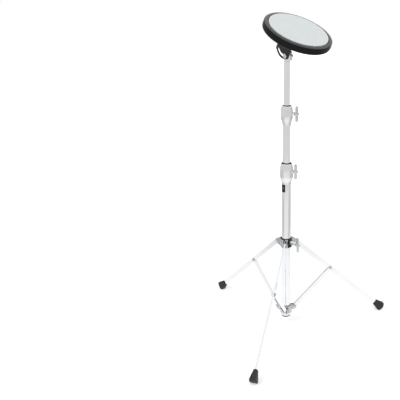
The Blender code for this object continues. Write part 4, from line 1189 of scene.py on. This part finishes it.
def make_world():
    """White to the camera; to mirrors, soft grey walls under a white ceiling."""
    world = bpy.data.worlds.new("world")
    bpy.context.scene.world = world
    world.use_nodes = True
    graph = Graph(world.node_tree)
    nodes = graph.tree.nodes
    parts = nodes.new("ShaderNodeSeparateXYZ")
    graph.plug(parts.inputs[0], nodes.new("ShaderNodeTexCoord").outputs["Generated"])
    level = graph.step(parts.outputs["Z"], *CEILING_RISE, MIRROR_FAR, MIRROR_TOP)
    path = nodes.new("ShaderNodeLightPath")
    unseen = graph.choose(path.outputs["Is Glossy Ray"], graph.light("ShaderNodeBackground", WORLD_LEVEL),
                          graph.light("ShaderNodeBackground", level))
    seen = graph.maths("MAXIMUM", path.outputs["Is Camera Ray"], path.outputs["Is Transmission Ray"])
    surface = graph.choose(seen, unseen, graph.light("ShaderNodeBackground", 1.0))
    graph.plug(nodes.new("ShaderNodeOutputWorld").inputs["Surface"], surface)


def make_lamp(name, place, target, size, power):
    data = bpy.data.lights.new(name, "AREA")
    data.shape = "DISK"
    data.size = size
    data.energy = power
    lamp = linked(name, data)
    lamp.location = place
    lamp.rotation_euler = (Vector(target) - Vector(place)).to_track_quat("-Z", "Y").to_euler()
    lamp.visible_glossy = False


make_tube("base_tube", "base", TUBE_WALL)
make_tube("middle_tube", "middle_stage", MIDDLE_WALL)
make_tube("upper_tube", "upper_stage", UPPER_WALL)
make_cap()
make_label()
make_clamp("lower_clamp", "base_tube", "base", "lower_wing_turn", mouth=0.0148, taper=0.62)
make_clamp("upper_clamp", "middle_tube", "middle_stage", "upper_wing_turn", mouth=0.0131, taper=0.80)
make_bush("lower_clamp_bush", "lower_swivel", collar=0.0143)
make_bush("upper_clamp_bush", "upper_swivel", collar=0.0120)
for stage in ("lower", "upper"):
    height = JOINTS[stage + "_wing_turn"]["pos_m"][2]
    make_wing_screw(stage + "_wing_screw", stage + "_wing", Matrix.Translation((0, 0, height)))
make_wing_screw("hub_wing_screw", "hub_wing", HUB_SCREW)
make_hub_core()
make_hub_collar()
make_lower_hub()
for leg in LEG_AZIMUTHS:
    make_clevis(leg)
    make_leg(leg)
    make_strut(leg)
    make_foot(leg)
    make_pin("hub_pin_" + leg, "leg_hub", SIDES[leg])
    make_pin("lower_pin_" + leg, "base", LOWER_SIDES[leg])
    make_pin(leg + "_rivet", "strut_" + leg, SIDES[leg])
make_head_block()
make_bolt("pivot_bolt", 0.0)
make_bolt("lock_bolt", LOCK_HEIGHT, WING_LOOK)
make_nut("pivot_nut", "upper_stage", HEAD, "Y", SCREW_RADIUS)
make_nut("stud_nut", "bracket", BRACKET, "Z", STUD_RADIUS)
make_washer()
make_tilt_wing_nut()
make_bracket()
make_stud()
make_pad()

for node, piece in frame["nodes"].items():
    piece.data.materials.clear()
    piece.data.materials.append(LOOKS[SLOTS[node]])

make_camera()
make_floor()
make_world()
make_lamp("key", (-1.6, -1.9, 2.6), (0.0, 0.0, 0.5), 1.6, 42.0)
make_lamp("fill", (2.2, -1.2, 1.9), (0.0, 0.0, 0.5), 1.8, 18.0)
make_lamp("back", (0.6, 2.2, 2.4), (0.0, 0.0, 0.4), 1.6, 14.0)
bpy.context.scene.view_settings.view_transform = "Standard"
